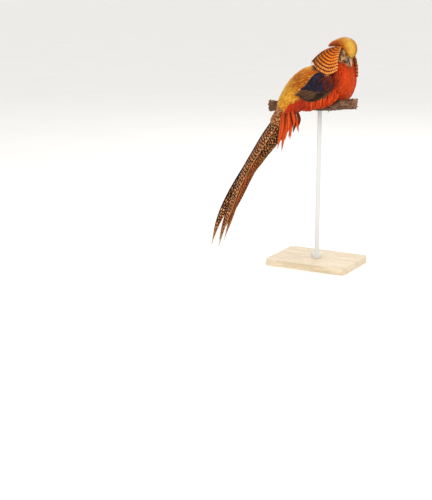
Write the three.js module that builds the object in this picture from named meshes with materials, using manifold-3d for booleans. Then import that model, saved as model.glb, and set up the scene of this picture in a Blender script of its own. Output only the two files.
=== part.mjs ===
// Male golden pheasant at life size, still, perched on a cut length of branch on a plain stand.
// Millimetres, +Z up. The bird faces +X and its left side is +Y. The origin is the middle of the
// underside of the stand's base. The bird's own points are given from the perch point, where the
// branch's axis passes under the belly, and the whole is raised by PERCH_HEIGHT at the end.

import * as THREE from "three";
import { mergeVertices } from "three/addons/utils/BufferGeometryUtils.js";
import Module from "manifold-3d";

const wasm = await Module();
wasm.setup();

// Driving dimensions
const PERCH_HEIGHT = 447;
const GAP = 0.3;
// How far a form is swelled along its normals to clear its neighbour by the gap, at its edges too
const CLEAR = 0.55;
const VANE_THICK = 0.8;
const VANE_TIP = 0.65;
const VANE_ROLL = 0.07;
const BODY_SIDES = 20;
const HEAD_SIDES = 16;

// Stand
const BASE_LENGTH = 240;
const BASE_WIDTH = 180;
const BASE_THICK = 18;
const BASE_CORNER = 14;
const ROD_RADIUS = 6;
const ROD_SIDES = 16;
const ROD_IN_BRANCH = 5;
const COLLAR_RADIUS = 14;
const COLLAR_HEIGHT = 12;

// Branch
const BRANCH_RADIUS = 12.6;
const BRANCH_SIDES = 10;
const BRANCH_STEPS = 15;
const BRANCH_FLARE = { left: 0.32, right: 0.16 };
const KNOT_HEIGHT = 2.4;
const KNOT_AT = 0.82;
const KNOT_LONG = 0.05;

// Head: its frame's origin is the middle of the skull, with forward, right and up directions.
const HEAD_AT = new THREE.Vector3(80.4, -12.4, 151.5);
const HEAD_YAW = -38;
const HEAD_PITCH = -50;
const EYE_RADIUS = 5.2;
const EYE_AT = { f: 3, r: 10.2, u: 1.5 };
const LID_RADIUS = 1.2;
const NOSTRIL = { f: 27, r: 4.4, u: 1.6, long: 2.6, high: 1, deep: 1.6 };

// Feet
const TOE_RADIUS = 2.7;
const TARSUS_RADIUS = 3.6;
const FOOT_ALONG_BRANCH = 27;

const v3 = (x, y, z) => new THREE.Vector3(x, y, z);
const rad = THREE.MathUtils.degToRad;
const lerp = THREE.MathUtils.lerp;
const clamp = THREE.MathUtils.clamp;
const SIDES = [
  ["left", 1],
  ["right", -1],
];

// The same seeded numbers on every run, between -1 and 1.
let seed = 20;
function jitter() {
  seed = (seed * 16807) % 2147483647;
  return (seed / 2147483647) * 2 - 1;
}

// Closed surfaces and solids

// A closed skin over rings of points, each ring with the same count. In the second half of a ring the
// triangles are split the other way, so that both faces of a thin vane are split alike.
function skin(rings) {
  const count = rings[0].length;
  const points = rings.flat();
  const index = [];
  for (let i = 0; i + 1 < rings.length; i += 1) {
    for (let j = 0; j < count; j += 1) {
      const a = i * count + j;
      const b = i * count + ((j + 1) % count);
      const c = a + count;
      const d = b + count;
      if (j < count / 2) {
        index.push(a, b, c, b, d, c);
      } else {
        index.push(a, b, d, a, d, c);
      }
    }
  }
  const last = (rings.length - 1) * count;
  if (count === 4) {
    index.push(0, 2, 1, 0, 3, 2, last, last + 1, last + 2, last, last + 2, last + 3);
  } else {
    const first = points.push(middleOf(rings[0])) - 1;
    const end = points.push(middleOf(rings[rings.length - 1])) - 1;
    for (let j = 0; j < count; j += 1) {
      const next = (j + 1) % count;
      index.push(first, next, j, end, last + j, last + next);
    }
  }
  const geometry = new THREE.BufferGeometry().setFromPoints(points);
  geometry.setIndex(index);
  return geometry;
}

function middleOf(ring) {
  return ring.reduce((sum, point) => sum.add(point), v3(0, 0, 0)).divideScalar(ring.length);
}

function signedVolume(positions, index) {
  const [a, b, c] = [v3(0, 0, 0), v3(0, 0, 0), v3(0, 0, 0)];
  let sum = 0;
  for (let i = 0; i < index.length; i += 3) {
    a.fromArray(positions, index[i] * 3);
    b.fromArray(positions, index[i + 1] * 3);
    c.fromArray(positions, index[i + 2] * 3);
    sum += a.dot(b.cross(c));
  }
  return sum;
}

// Moves every vertex out by a distance, along the mean of its faces' normals weighted by their angles.
function swell(positions, index, distance) {
  const normals = Array.from({ length: positions.length / 3 }, () => v3(0, 0, 0));
  const at = (k) => v3(0, 0, 0).fromArray(positions, index[k] * 3);
  for (let i = 0; i < index.length; i += 3) {
    const corners = [at(i), at(i + 1), at(i + 2)];
    for (let k = 0; k < 3; k += 1) {
      const on = corners[(k + 1) % 3].clone().sub(corners[k]);
      const back = corners[(k + 2) % 3].clone().sub(corners[k]);
      const normal = on.clone().cross(back).normalize();
      normals[index[i + k]].addScaledVector(normal, on.angleTo(back));
    }
  }
  normals.forEach((normal, k) => {
    const point = v3(0, 0, 0).fromArray(positions, k * 3);
    point.addScaledVector(normal.normalize(), distance).toArray(positions, k * 3);
  });
}

// A closed geometry as a solid with its faces pointing out, swelled if asked for.
function solidOf(geometry, grow = 0) {
  const bare = geometry.clone();
  bare.deleteAttribute("normal");
  bare.deleteAttribute("uv");
  const merged = mergeVertices(bare, 1e-4);
  const positions = Float32Array.from(merged.attributes.position.array);
  const index = Uint32Array.from(merged.index.array);
  if (signedVolume(positions, index) < 0) {
    for (let i = 0; i < index.length; i += 3) {
      [index[i], index[i + 1]] = [index[i + 1], index[i]];
    }
  }
  if (grow > 0) {
    swell(positions, index, grow);
  }
  return new wasm.Manifold(new wasm.Mesh({ numProp: 3, vertProperties: positions, triVerts: index }));
}

const joined = (solids) => wasm.Manifold.union(solids);
const without = (solid, cutters) => solid.subtract(joined(cutters));

// The largest closed surface of a solid, as a geometry.
function geometryOf(solid) {
  const pieces = solid.decompose();
  const body = pieces.reduce((best, piece) => (piece.volume() > best.volume() ? piece : best));
  const mesh = body.getMesh();
  const geometry = new THREE.BufferGeometry();
  geometry.setAttribute("position", new THREE.BufferAttribute(Float32Array.from(mesh.vertProperties), 3));
  geometry.setIndex(Array.from(mesh.triVerts));
  return geometry;
}

const swelled = (solid) => solidOf(geometryOf(solid), CLEAR);
const plain = (vector) => [vector.x, vector.y, vector.z];

// What lies ahead of a plane, or behind it.
function ahead(solid, plane, clear = 0) {
  return solid.trimByPlane(plain(plane.normal), plane.offset + clear);
}

function behind(solid, plane, clear = 0) {
  return solid.trimByPlane(plain(plane.normal.clone().negate()), clear - plane.offset);
}

// A value of the stations read smoothly at any place between the first, 0, and the last, 1.
function along(stations, key, place) {
  const at = clamp(place, 0, 1) * (stations.length - 1);
  const i = Math.min(Math.floor(at), stations.length - 2);
  const t = at - i;
  const from = stations[i][key];
  const to = stations[i + 1][key];
  const before = stations[Math.max(i - 1, 0)][key];
  const after = stations[Math.min(i + 2, stations.length - 1)][key];
  const bend = 2 * before - 5 * from + 4 * to - after;
  const twist = 3 * from - before - 3 * to + after;
  return 0.5 * (2 * from + (to - before) * t + bend * t * t + twist * t ** 3);
}

// Cosine and sine drawn out a little towards a rounded box.
function rounded(angle, square) {
  const draw = (value) => Math.sign(value) * Math.abs(value) ** (2 / square);
  return [draw(Math.cos(angle)), draw(Math.sin(angle))];
}

// Feathers

// A flat vane. Its frame for t from 0 at the root to 1 at the tip has its middle, the direction across
// it and the direction that it faces, and half gives half its width.
function strip(frameAt, half, steps) {
  const rings = [];
  for (let i = 0; i <= steps; i += 1) {
    const t = i / steps;
    const { at, side, out } = frameAt(t);
    const thick = VANE_THICK * (i === steps ? VANE_TIP : 1);
    const corner = (across, face) =>
      at.clone().addScaledVector(side, across * half(t)).addScaledVector(out, (face * thick) / 2);
    rings.push([corner(-1, 1), corner(1, 1), corner(1, -1), corner(-1, -1)]);
  }
  return solidOf(skin(rings));
}

// A vane laid on a surface, which gives a point for (u, v, lift). The path gives u, v and lift for t.
function vane(surface, path, half, steps, roll = 0) {
  const reach = 0.01;
  const frameAt = (t) => {
    const here = path(t);
    const back = path(Math.max(t - reach, 0));
    const on = path(Math.min(t + reach, 1));
    const at = surface(here.u, here.v, here.lift);
    const run = surface(on.u, on.v, here.lift).sub(surface(back.u, back.v, here.lift)).normalize();
    const face = surface(here.u, here.v, here.lift + 1).sub(at).normalize();
    const side = run.clone().cross(face).normalize();
    const out = side.clone().cross(run).normalize();
    return { at, side: side.applyAxisAngle(run, roll), out: out.applyAxisAngle(run, roll) };
  };
  return strip(frameAt, half, steps);
}

// A vane's height over the surface: sunk at its root, out of the surface by half way, highest at its tip.
const ROOT_SUNK = -3.2;
const MIDDLE_LIFT = 0.7;
// How far the mass that carries feathers lies under their surface
const CORE_UNDER = 1.5;
const rise = (t, top) => (t < 0.5 ? lerp(ROOT_SUNK, MIDDLE_LIFT, 2 * t) : lerp(MIDDLE_LIFT, top, 2 * t - 1));

const squareTip = (wide) => (t) => wide * (t < 0.3 ? lerp(0.6, 1, t / 0.3) : 1 - 0.14 * t ** 6);
const roundTip = (wide) => (t) => wide * lerp(0.7, 1, Math.min(1, 3 * t)) * (1 - 0.55 * t ** 4);
const pointTip = (wide) => (t) => Math.max(0.6, wide * lerp(0.6, 1, Math.min(1, 3 * t)) * (1 - t ** 2.4));

// Torso: each station is a chord from the back line to the belly line, with the half width there. They
// run from a sleeve round the tail's root to the foot of the neck, where the chords turn up with it.
const TORSO = [
  { tx: -147, tz: -46, bx: -105, bz: -68, w: 25 },
  { tx: -127, tz: -10, bx: -92, bz: -34, w: 24 },
  { tx: -121, tz: 13, bx: -78, bz: -29, w: 31 },
  { tx: -104, tz: 43, bx: -60, bz: -18, w: 41 },
  { tx: -80, tz: 75, bx: -40, bz: -6, w: 49 },
  { tx: -48, tz: 100, bx: -14, bz: 6, w: 55 },
  { tx: -11, tz: 113, bx: 18, bz: 9.5, w: 57 },
  { tx: 23, tz: 120, bx: 54, bz: 9.5, w: 55 },
  { tx: 42, tz: 128, bx: 81, bz: 22, w: 50 },
  { tx: 50, tz: 134, bx: 95.5, bz: 48, w: 43 },
  { tx: 55, tz: 139, bx: 100, bz: 72, w: 36 },
  { tx: 57, tz: 146, bx: 98.5, bz: 95, w: 28 },
  { tx: 58, tz: 155, bx: 97, bz: 116, w: 22 },
];
const SPINE_FROM_TOP = 0.46;
const TORSO_STEPS = 16;
const TORSO_SQUARE = 2.25;
const TAIL_PLACE = 1 / 12;
const RUMP_PLACE = 0.36;
const MANTLE_PLACE = 0.5;
const NECK_PLACE = 0.82;

// A point of the torso's surface: place runs from the tail's sleeve to the neck, and the angle from the
// back line, towards the left side where positive. Lift is the height over the surface.
function bodyPoint(place, angle, lift = 0) {
  const top = v3(along(TORSO, "tx", place), 0, along(TORSO, "tz", place));
  const foot = v3(along(TORSO, "bx", place), 0, along(TORSO, "bz", place));
  const chord = top.clone().sub(foot);
  const depth = chord.length();
  chord.normalize();
  const [c, s] = rounded(rad(angle), TORSO_SQUARE);
  const reach = depth * (c > 0 ? SPINE_FROM_TOP : 1 - SPINE_FROM_TOP) + lift;
  const wide = along(TORSO, "w", place) + lift;
  return top.addScaledVector(chord, c * reach - depth * SPINE_FROM_TOP).add(v3(0, s * wide, 0));
}

function torsoRing(place) {
  const ring = [];
  for (let j = 0; j < BODY_SIDES; j += 1) {
    ring.push(bodyPoint(place, (360 * j) / BODY_SIDES));
  }
  return ring;
}

function torsoForm() {
  const rings = [];
  for (let i = 0; i <= TORSO_STEPS; i += 1) {
    rings.push(torsoRing(lerp(TAIL_PLACE, NECK_PLACE, i / TORSO_STEPS)));
  }
  return skin(rings);
}

// The plane of the chord at a place, facing the head.
function chordPlane(place) {
  const top = bodyPoint(place, 0);
  const foot = bodyPoint(place, 180);
  const normal = v3(top.z - foot.z, 0, foot.x - top.x).normalize();
  return { normal, offset: normal.dot(top) };
}

const tailPlane = chordPlane(TAIL_PLACE);
const rumpPlane = chordPlane(RUMP_PLACE);
const mantlePlane = chordPlane(MANTLE_PLACE);
const neckPlane = chordPlane(NECK_PLACE);
// Divides the gold above and behind from the scarlet below.
const goldPlane = { normal: v3(-0.72, 0, 0.69), offset: 58 };

// Rows of feathers over the torso, from place to place: each row's tips stand past the next row's roots.
function bodyRow({ tip, long, from, to, count, wide, lift }) {
  const vanes = [];
  for (let n = 0; n < count; n += 1) {
    const angle = lerp(from, to, n / (count - 1));
    const end = tip + 0.008 * jitter();
    const path = (t) => ({ u: lerp(tip + long, end, t), v: angle, lift: rise(t, lift) });
    vanes.push(vane(bodyPoint, path, roundTip(wide), 2, VANE_ROLL));
  }
  return vanes;
}

const RUMP_ROWS = [
  { tip: 0.25, long: 0.1, from: -52, to: 52, count: 4, wide: 12, lift: 2 },
  { tip: 0.14, long: 0.1, from: -60, to: 60, count: 4, wide: 12, lift: 2 },
  { tip: 0.03, long: 0.1, from: -62, to: 62, count: 4, wide: 9.5, lift: 1.4 },
];
const MANTLE_ROWS = [{ tip: 0.45, long: 0.07, from: -38, to: 38, count: 4, wide: 12, lift: 1.8 }];

// Long pointed scarlet coverts that hang beside the tail: each one's root on the torso, and its tip.
const COVERTS = {
  right: [
    { place: 0.13, angle: 108, x: -114, y: 29, z: -125, wide: 5.5 },
    { place: 0.14, angle: 124, x: -100, y: 31, z: -129, wide: 6 },
    { place: 0.2, angle: 140, x: -75, y: 31, z: -94, wide: 6 },
    { place: 0.25, angle: 152, x: -50, y: 29, z: -73, wide: 5.5 },
  ],
  left: [
    { place: 0.13, angle: 108, x: -124, y: 27, z: -96, wide: 5.5 },
    { place: 0.14, angle: 126, x: -108, y: 29, z: -98, wide: 6 },
    { place: 0.18, angle: 140, x: -94, y: 28, z: -84, wide: 6 },
    { place: 0.22, angle: 150, x: -76, y: 25, z: -66, wide: 5.5 },
  ],
};
const COVERT_STEPS = 4;

function coverts(side) {
  return COVERTS[side > 0 ? "left" : "right"].map(({ place, angle, x, y, z, wide }) => {
    const root = bodyPoint(place, side * angle, -3);
    const start = bodyPoint(place - 0.03, side * angle, 0.5);
    const tip = v3(x, side * y, z);
    const line = new THREE.CatmullRomCurve3([
      root,
      start,
      start.clone().lerp(tip, 0.5).add(v3(3, side * 3, 0)),
      tip,
    ]);
    const frameAt = (t) => {
      const run = line.getTangentAt(t);
      const out = v3(0.25, side, 0).addScaledVector(run, -run.dot(v3(0.25, side, 0))).normalize();
      return { at: line.getPointAt(t), side: run.clone().cross(out), out };
    };
    return strip(frameAt, pointTip(wide), COVERT_STEPS);
  });
}

// Head frame
const headForward = v3(
  Math.cos(rad(HEAD_YAW)) * Math.cos(rad(HEAD_PITCH)),
  Math.sin(rad(HEAD_YAW)) * Math.cos(rad(HEAD_PITCH)),
  Math.sin(rad(HEAD_PITCH)),
);
const headUp = v3(0, 0, 1).addScaledVector(headForward, -headForward.z).normalize();
const headRight = headForward.clone().cross(headUp);

function onHead(f, r, u) {
  return HEAD_AT.clone()
    .addScaledVector(headForward, f)
    .addScaledVector(headRight, r)
    .addScaledVector(headUp, u);
}

// A skin along the head's axis: f forward, u the middle's height, w half width, up and down the depths.
function headLoft(stations, steps, sides) {
  const rings = [];
  for (let i = 0; i <= steps; i += 1) {
    const place = i / steps;
    const f = along(stations, "f", place);
    const ring = [];
    for (let j = 0; j < sides; j += 1) {
      const [c, s] = rounded((2 * Math.PI * j) / sides, 2.1);
      const tall = along(stations, c > 0 ? "up" : "down", place);
      const wide = along(stations, "w", place);
      ring.push(onHead(f, s * wide, along(stations, "u", place) + c * tall));
    }
    rings.push(ring);
  }
  return skin(rings);
}

const SKULL = [
  { f: -25, u: 2, w: 5, up: 6, down: 6 },
  { f: -22, u: 1, w: 11, up: 11, down: 11 },
  { f: -13, u: 0, w: 15, up: 15, down: 15 },
  { f: -3, u: 0, w: 15.2, up: 15, down: 16 },
  { f: 6, u: -0.5, w: 13, up: 13, down: 14 },
  { f: 15, u: -1, w: 9.6, up: 10, down: 10.5 },
  { f: 23, u: -1, w: 6.4, up: 6.6, down: 6.6 },
];
const BILL_UPPER = [
  { f: 18, u: 0, w: 6.2, up: 5.2, down: 1.4 },
  { f: 25.5, u: 0, w: 5.9, up: 4.9, down: 1.8 },
  { f: 32, u: -0.8, w: 5, up: 4, down: 1.8 },
  { f: 39, u: -3, w: 3.5, up: 2.8, down: 2 },
  { f: 45, u: -7, w: 1.2, up: 1.2, down: 1.2 },
];
const BILL_LOWER = [
  { f: 18, u: -3.6, w: 5, up: 1.9, down: 2.8 },
  { f: 26, u: -3.7, w: 4.6, up: 1.6, down: 2.5 },
  { f: 33, u: -4.3, w: 3.6, up: 1.4, down: 1.9 },
  { f: 40.5, u: -6.4, w: 1.8, up: 0.8, down: 0.9 },
];

function ball(at, radius, wide = 12, high = 8) {
  const sphere = new THREE.SphereGeometry(radius, wide, high);
  sphere.translate(at.x, at.y, at.z);
  return solidOf(sphere);
}

const eyeAt = (side) => onHead(EYE_AT.f, -side * EYE_AT.r, EYE_AT.u);

// The lids: a ring round the eye where it comes out of the face.
function lidRing(side, grow = 0) {
  const ring = new THREE.TorusGeometry(EYE_RADIUS + 0.2, LID_RADIUS, 4, 12);
  const out = headRight.clone().multiplyScalar(-side).addScaledVector(headForward, 0.22).normalize();
  ring.applyQuaternion(new THREE.Quaternion().setFromUnitVectors(v3(0, 0, 1), out));
  const at = eyeAt(side).addScaledVector(out, 2.2);
  ring.translate(at.x, at.y, at.z);
  return solidOf(ring, grow);
}

function nostril(side) {
  const pit = new THREE.SphereGeometry(1, 8, 6);
  pit.scale(NOSTRIL.long, NOSTRIL.deep, NOSTRIL.high);
  pit.applyMatrix4(new THREE.Matrix4().makeBasis(headForward, headRight, headUp));
  const at = onHead(NOSTRIL.f, -side * NOSTRIL.r, NOSTRIL.u);
  pit.translate(at.x, at.y, at.z);
  return solidOf(pit);
}

// Crest: long silky feathers over the crown that run back and down over the nape. The stations follow
// the middle of the mass in the head's frame, with its depths away from and towards the skull.
const CREST = [
  { f: 26, r: -2, u: 5, w: 4, out: 2.5, in: 4 },
  { f: 20.5, r: -2.5, u: 10, w: 12, out: 6, in: 8 },
  { f: 10.5, r: -2.5, u: 14, w: 17.5, out: 11, in: 10 },
  { f: -3.5, r: -2.5, u: 15, w: 20.5, out: 14.5, in: 12 },
  { f: -16.5, r: -1.5, u: 11, w: 20.5, out: 15, in: 12 },
  { f: -28.5, r: 0.5, u: 2, w: 18.5, out: 13, in: 12.5 },
  { f: -37.5, r: 5.5, u: -9.5, w: 15.5, out: 9.5, in: 10 },
  { f: -44, r: 10.5, u: -21.5, w: 12, out: 7, in: 7.5 },
  { f: -48, r: 15.5, u: -33, w: 8, out: 4.5, in: 4.5 },
  { f: -50.5, r: 20.5, u: -43, w: 2, out: 1.5, in: 1.2 },
];
const CREST_STEPS = 6;
const CREST_SIDES = 10;
const CREST_CORE_END = 0.55;
const CREST_SHELL = 2;
const CREST_LOCKS = [
  { root: 0.04, tip: 0.46, count: 3, wide: 8, spread: 56 },
  { root: 0.26, tip: 0.76, count: 4, wide: 8, spread: 88 },
  { root: 0.44, tip: 1, count: 5, wide: 6.5, spread: 120 },
];

function crestMiddle(place) {
  return onHead(along(CREST, "f", place), along(CREST, "r", place), along(CREST, "u", place));
}

// A point of the crest's surface, with the angle from its outer line.
function crestPoint(place, angle, lift = 0) {
  const at = crestMiddle(place);
  const run = crestMiddle(Math.min(place + 0.02, 1)).sub(crestMiddle(Math.max(place - 0.02, 0))).normalize();
  const side = headRight.clone().addScaledVector(run, -headRight.dot(run)).normalize();
  const out = side.clone().cross(run);
  const [c, s] = [Math.cos(rad(angle)), Math.sin(rad(angle))];
  const depth = along(CREST, c > 0 ? "out" : "in", place) + lift;
  return at.addScaledVector(out, -c * depth).addScaledVector(side, -s * (along(CREST, "w", place) + lift));
}

function crestForm(end, lift = 0) {
  const rings = [];
  for (let i = 0; i <= CREST_STEPS; i += 1) {
    const ring = [];
    for (let j = 0; j < CREST_SIDES; j += 1) {
      ring.push(crestPoint((end * i) / CREST_STEPS, (360 * j) / CREST_SIDES, lift));
    }
    rings.push(ring);
  }
  return skin(rings);
}

function crestLocks() {
  return CREST_LOCKS.flatMap(({ root, tip, count, wide, spread }) => {
    const locks = [];
    for (let n = 0; n < count; n += 1) {
      const angle = spread * ((2 * n) / (count - 1) - 1) + 3 * jitter();
      const end = tip - 0.04 * Math.abs(jitter());
      const path = (t) => ({ u: lerp(root, end, t), v: angle * (1 - 0.15 * t), lift: rise(t, 1.4) });
      locks.push(vane(crestPoint, path, pointTip(wide), 3, VANE_ROLL * Math.sign(angle)));
    }
    return locks;
  });
}

// Neck: from the torso's neck chord up into the head.
const NECK_STEPS = 6;
const NECK_HEAD = { front: 17, side: 15 };

function neckForm() {
  const foot = torsoRing(NECK_PLACE);
  const middle = onHead(-6, 0, -8);
  const axis = middle.clone().sub(middleOf(foot)).normalize();
  const side = v3(0, 1, 0).addScaledVector(axis, -axis.y).normalize();
  const front = side.clone().cross(axis);
  const rings = [];
  for (let i = 0; i <= NECK_STEPS; i += 1) {
    const ring = foot.map((point, j) => {
      const angle = (2 * Math.PI * j) / BODY_SIDES;
      const head = middle.clone()
        .addScaledVector(front, -Math.cos(angle) * NECK_HEAD.front)
        .addScaledVector(side, Math.sin(angle) * NECK_HEAD.side);
      return point.clone().lerp(head, i / NECK_STEPS);
    });
    rings.push(ring);
  }
  return skin(rings);
}

// Cape: a fan of square feathers from behind the face over the neck and shoulders, turned with the
// neck. At each angle from the back, reach is the rim's distance out and drop its fall.
const CAPE_AT = v3(72, -8, 164);
const CAPE_YAW = -16;
const CAPE_OPEN = 100;
const CAPE_RIM = [
  { reach: 104, drop: 42 },
  { reach: 91, drop: 50 },
  { reach: 73, drop: 66 },
  { reach: 57, drop: 76 },
  { reach: 44, drop: 66 },
];
const CAPE_LEFT_DROP = 17;
const CAPE_NECK_RADIUS = 17;
const CAPE_BULGE = 10.5;
const CAPE_HEART = v3(62, -4, 88);
const CAPE_CORE_RIM = 0.55;
const CAPE_TIPS = [0.5, 0.75, 1];
const CAPE_ROOT_BACK = 0.3;
const CAPE_FEATHER = 14;
const CAPE_SPACING = 22;
const CAPE_MEAN_REACH = 68;
const CAPE_SHELL = 4.5;
// How much further round and out the room for the cape reaches than the cape
const CAPE_ROOM_OPEN = 12;
const CAPE_ROOM_RIM = 1.2;

function capePoint(angle, t, lift = 0) {
  const share = Math.abs(angle) / CAPE_OPEN;
  const reach = along(CAPE_RIM, "reach", share);
  const drop = along(CAPE_RIM, "drop", share) + (angle > 0 ? CAPE_LEFT_DROP * share : 0);
  const turn = rad(180 + CAPE_YAW - angle);
  const out = v3(Math.cos(turn), Math.sin(turn), 0);
  const swell = Math.sin(Math.PI * clamp(t, 0, 1)) * CAPE_BULGE + lift;
  const slope = v3(0, 0, reach).addScaledVector(out, drop).normalize();
  return CAPE_AT.clone()
    .addScaledVector(out, lerp(CAPE_NECK_RADIUS, reach, t))
    .add(v3(0, 0, -drop * t))
    .addScaledVector(slope, swell);
}

// The mass under the cape's feathers, grown on all sides where a clearance is asked for.
function capeCore(lift, open, rim) {
  const rings = [];
  const angles = 12;
  const steps = 3;
  for (let i = 0; i <= angles; i += 1) {
    const angle = lerp(-open, open, i / angles);
    const ring = [];
    for (let k = 0; k <= steps; k += 1) {
      ring.push(capePoint(angle, (rim * k) / steps, lift));
    }
    ring.push(CAPE_HEART.clone());
    ring.push(CAPE_AT.clone().add(v3(0, 0, lift)));
    rings.push(ring);
  }
  return solidOf(skin(rings));
}

function capeFeathers() {
  const vanes = [];
  const surface = (angle, t, lift) => capePoint(angle, t, lift);
  for (const [tier, tip] of CAPE_TIPS.entries()) {
    const root = Math.min(tip - CAPE_ROOT_BACK, CAPE_CORE_RIM - 0.03);
    const arc = 2 * rad(CAPE_OPEN) * lerp(CAPE_NECK_RADIUS, CAPE_MEAN_REACH, tip);
    const count = Math.round(arc / CAPE_SPACING);
    for (let n = 0; n < count; n += 1) {
      const across = lerp(-1, 1, (n + 0.5 * (tier % 2)) / (count - 0.5));
      // closer together behind, where the fan reaches furthest
      const angle = (CAPE_OPEN - 6) * across * lerp(0.66, 1, across ** 2);
      const end = tip + 0.012 * jitter();
      const path = (t) => ({ u: angle, v: lerp(root, end, t), lift: rise(t, 2) });
      vanes.push(vane(surface, path, squareTip(CAPE_FEATHER), 2, VANE_ROLL));
    }
  }
  return vanes;
}

// Wings, folded on the sides of the torso. The stations run from the shoulder past the wing's tip: the
// middle and half width round the torso in degrees, the lower edge's flare off the flank, and the share
// of the way across where the coverts end and the flights show.
const WING = [
  { middle: 84, half: 15, flare: 0, flights: 0.75 },
  { middle: 89, half: 26, flare: 2, flights: 0.62 },
  { middle: 97.5, half: 30.5, flare: 8, flights: 0.4 },
  { middle: 110, half: 19.5, flare: 13, flights: -0.25 },
  { middle: 109, half: 10, flare: 12, flights: -0.8 },
  { middle: 103, half: 2, flare: 6, flights: -0.8 },
];
const WING_END = 1.25;
const WING_FRONT = 0.655;
const WING_TIP = 0.4;
const WING_THICK = 6;
const WING_CORE_END = 0.66;
const WING_CORE_DEEP = 10;
const WING_ROOM_DEEP = 13;
const WING_ROOM_BROAD = 1.35;
const WING_ROOM_PAST = 0.04;
const WING_SHELL = 4.5;
const WING_STEPS = 6;
const WING_ACROSS = 3;
// The wing's coverts, scapulars and tertials in tiers, the place of each tier's tips
const WING_TIERS = [0.3, 0.56, 0.84];
const WING_ROW = 3;
const WING_FEATHER = 12.5;
const WING_ROOT_BACK = 0.34;
const FLIGHT_COUNT = 4;
const FLIGHT_WIDE = 6;
const FLIGHT_END = 1.2;

// A point over the wing: t runs from the shoulder to the wing's tip, share from its upper to its lower edge.
function wingPoint(side, t, share, lift) {
  const at = (key) => along(WING, key, clamp(t / WING_END, 0, 1));
  const thick = 1 + WING_THICK * Math.sin(Math.PI * lerp(0.12, 0.85, clamp(t, 0, 1)));
  const swell = 0.6 + thick * Math.sqrt(Math.max(1.02 - share * share, 0));
  const flare = at("flare") * THREE.MathUtils.smoothstep(share, -0.6, 1);
  const angle = at("middle") + share * at("half");
  return bodyPoint(lerp(WING_FRONT, WING_TIP, t), side * angle, swell + flare + lift);
}

// The folded wing's mass, as far as end, or where asked for the room that its feathers take up.
function wingForm(side, end, lift, broad = 1) {
  const rings = [];
  const deep = lift > 0 ? WING_ROOM_DEEP : WING_CORE_DEEP;
  for (let i = 0; i <= WING_STEPS; i += 1) {
    const t = (end * i) / WING_STEPS;
    const ring = [];
    for (let k = -WING_ACROSS; k <= WING_ACROSS; k += 1) {
      ring.push(wingPoint(side, t, (broad * k) / WING_ACROSS, lift));
    }
    for (let k = WING_ACROSS; k >= -WING_ACROSS; k -= 1) {
      const inner = wingPoint(side, t, (broad * k) / WING_ACROSS, 0);
      const edge = wingPoint(side, t, Math.sign(k) * broad, -3);
      ring.push(Math.abs(k) === WING_ACROSS ? edge : inner.addScaledVector(v3(0, side, 0), -deep));
    }
    rings.push(ring);
  }
  return skin(rings);
}

function wingFeathers(side) {
  const surface = (t, share, lift) => wingPoint(side, t, share, lift);
  const vanes = [];
  for (const [tier, tip] of WING_TIERS.entries()) {
    for (let n = 0; n < WING_ROW; n += 1) {
      const lower = along(WING, "flights", tip / WING_END);
      const share = lerp(-0.8, lower, (n + 0.5 * (tier % 2)) / (WING_ROW - 0.5));
      const end = tip + 0.02 * jitter();
      const path = (t) => ({ u: lerp(tip - WING_ROOT_BACK, end, t), v: share, lift: rise(t, 2) });
      vanes.push(vane(surface, path, roundTip(WING_FEATHER), 2, -VANE_ROLL * side));
    }
  }
  for (let n = 0; n < FLIGHT_COUNT; n += 1) {
    const lower = n / (FLIGHT_COUNT - 1);
    const [start, end] = [0.3 - 0.12 * lower, FLIGHT_END - 0.22 * lower];
    const path = (t) => {
      const u = lerp(start, end, t);
      const v = lerp(along(WING, "flights", u / WING_END), 0.93, 0.08 + 0.92 * lower) - 0.12 * t;
      return { u, v, lift: rise(t, 1.2) };
    };
    vanes.push(vane(surface, path, roundTip(FLIGHT_WIDE), 3, -VANE_ROLL * side));
  }
  return vanes;
}

// Tail: the middle line of the folded tail in the bird's median plane.
const TAIL_LINE = new THREE.CatmullRomCurve3([
  v3(-92, 0, 0),
  v3(-109, 0, -23),
  v3(-134, 0, -66),
  v3(-162, 0, -109),
  v3(-195, 0, -160),
  v3(-238, 0, -229),
  v3(-280, 0, -308),
  v3(-306, 0, -367),
  v3(-329, 0, -436),
]);
const TAIL_CORE_STEPS = 4;
const TAIL_CORE_SIDES = 8;
const TAIL_CORE_END = 0.2;
const TAIL_PAIRS = 7;
const TAIL_FEATHER_STEPS = 6;
const TAIL_ROOF = 62;
const TAIL_LAYER = 1.35;
const TAIL_STEP = 5.6;
// How much further down each pair stands in the tail's outer half
const TAIL_OPEN = [0, 3, 7, 0, 0, 0, 0];
// The folded tail's depth from its ridge to its lower edge, along its length
const TAIL_DEPTHS = [26, 40, 46, 44, 43, 44, 44, 41, 33].map((depth) => ({ depth }));
// Each pair's ends, left and right, as shares of the tail's length, and how far its tips bend to the ridge
const TAIL_ENDS = [
  { left: 1, right: 0.985, leftBend: 11, rightBend: -19 },
  { left: 0.955, right: 0.93, leftBend: -3, rightBend: -26 },
  { left: 0.86, right: 0.85, leftBend: -4, rightBend: -8 },
  { left: 0.69, right: 0.67, leftBend: 0, rightBend: 0 },
  { left: 0.55, right: 0.53, leftBend: 0, rightBend: 0 },
  { left: 0.43, right: 0.42, leftBend: 0, rightBend: 0 },
  { left: 0.33, right: 0.34, leftBend: 0, rightBend: 0 },
];

function tailFrame(t) {
  const run = TAIL_LINE.getTangentAt(t);
  return { at: TAIL_LINE.getPointAt(t), run, over: v3(run.z, 0, -run.x) };
}

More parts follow.
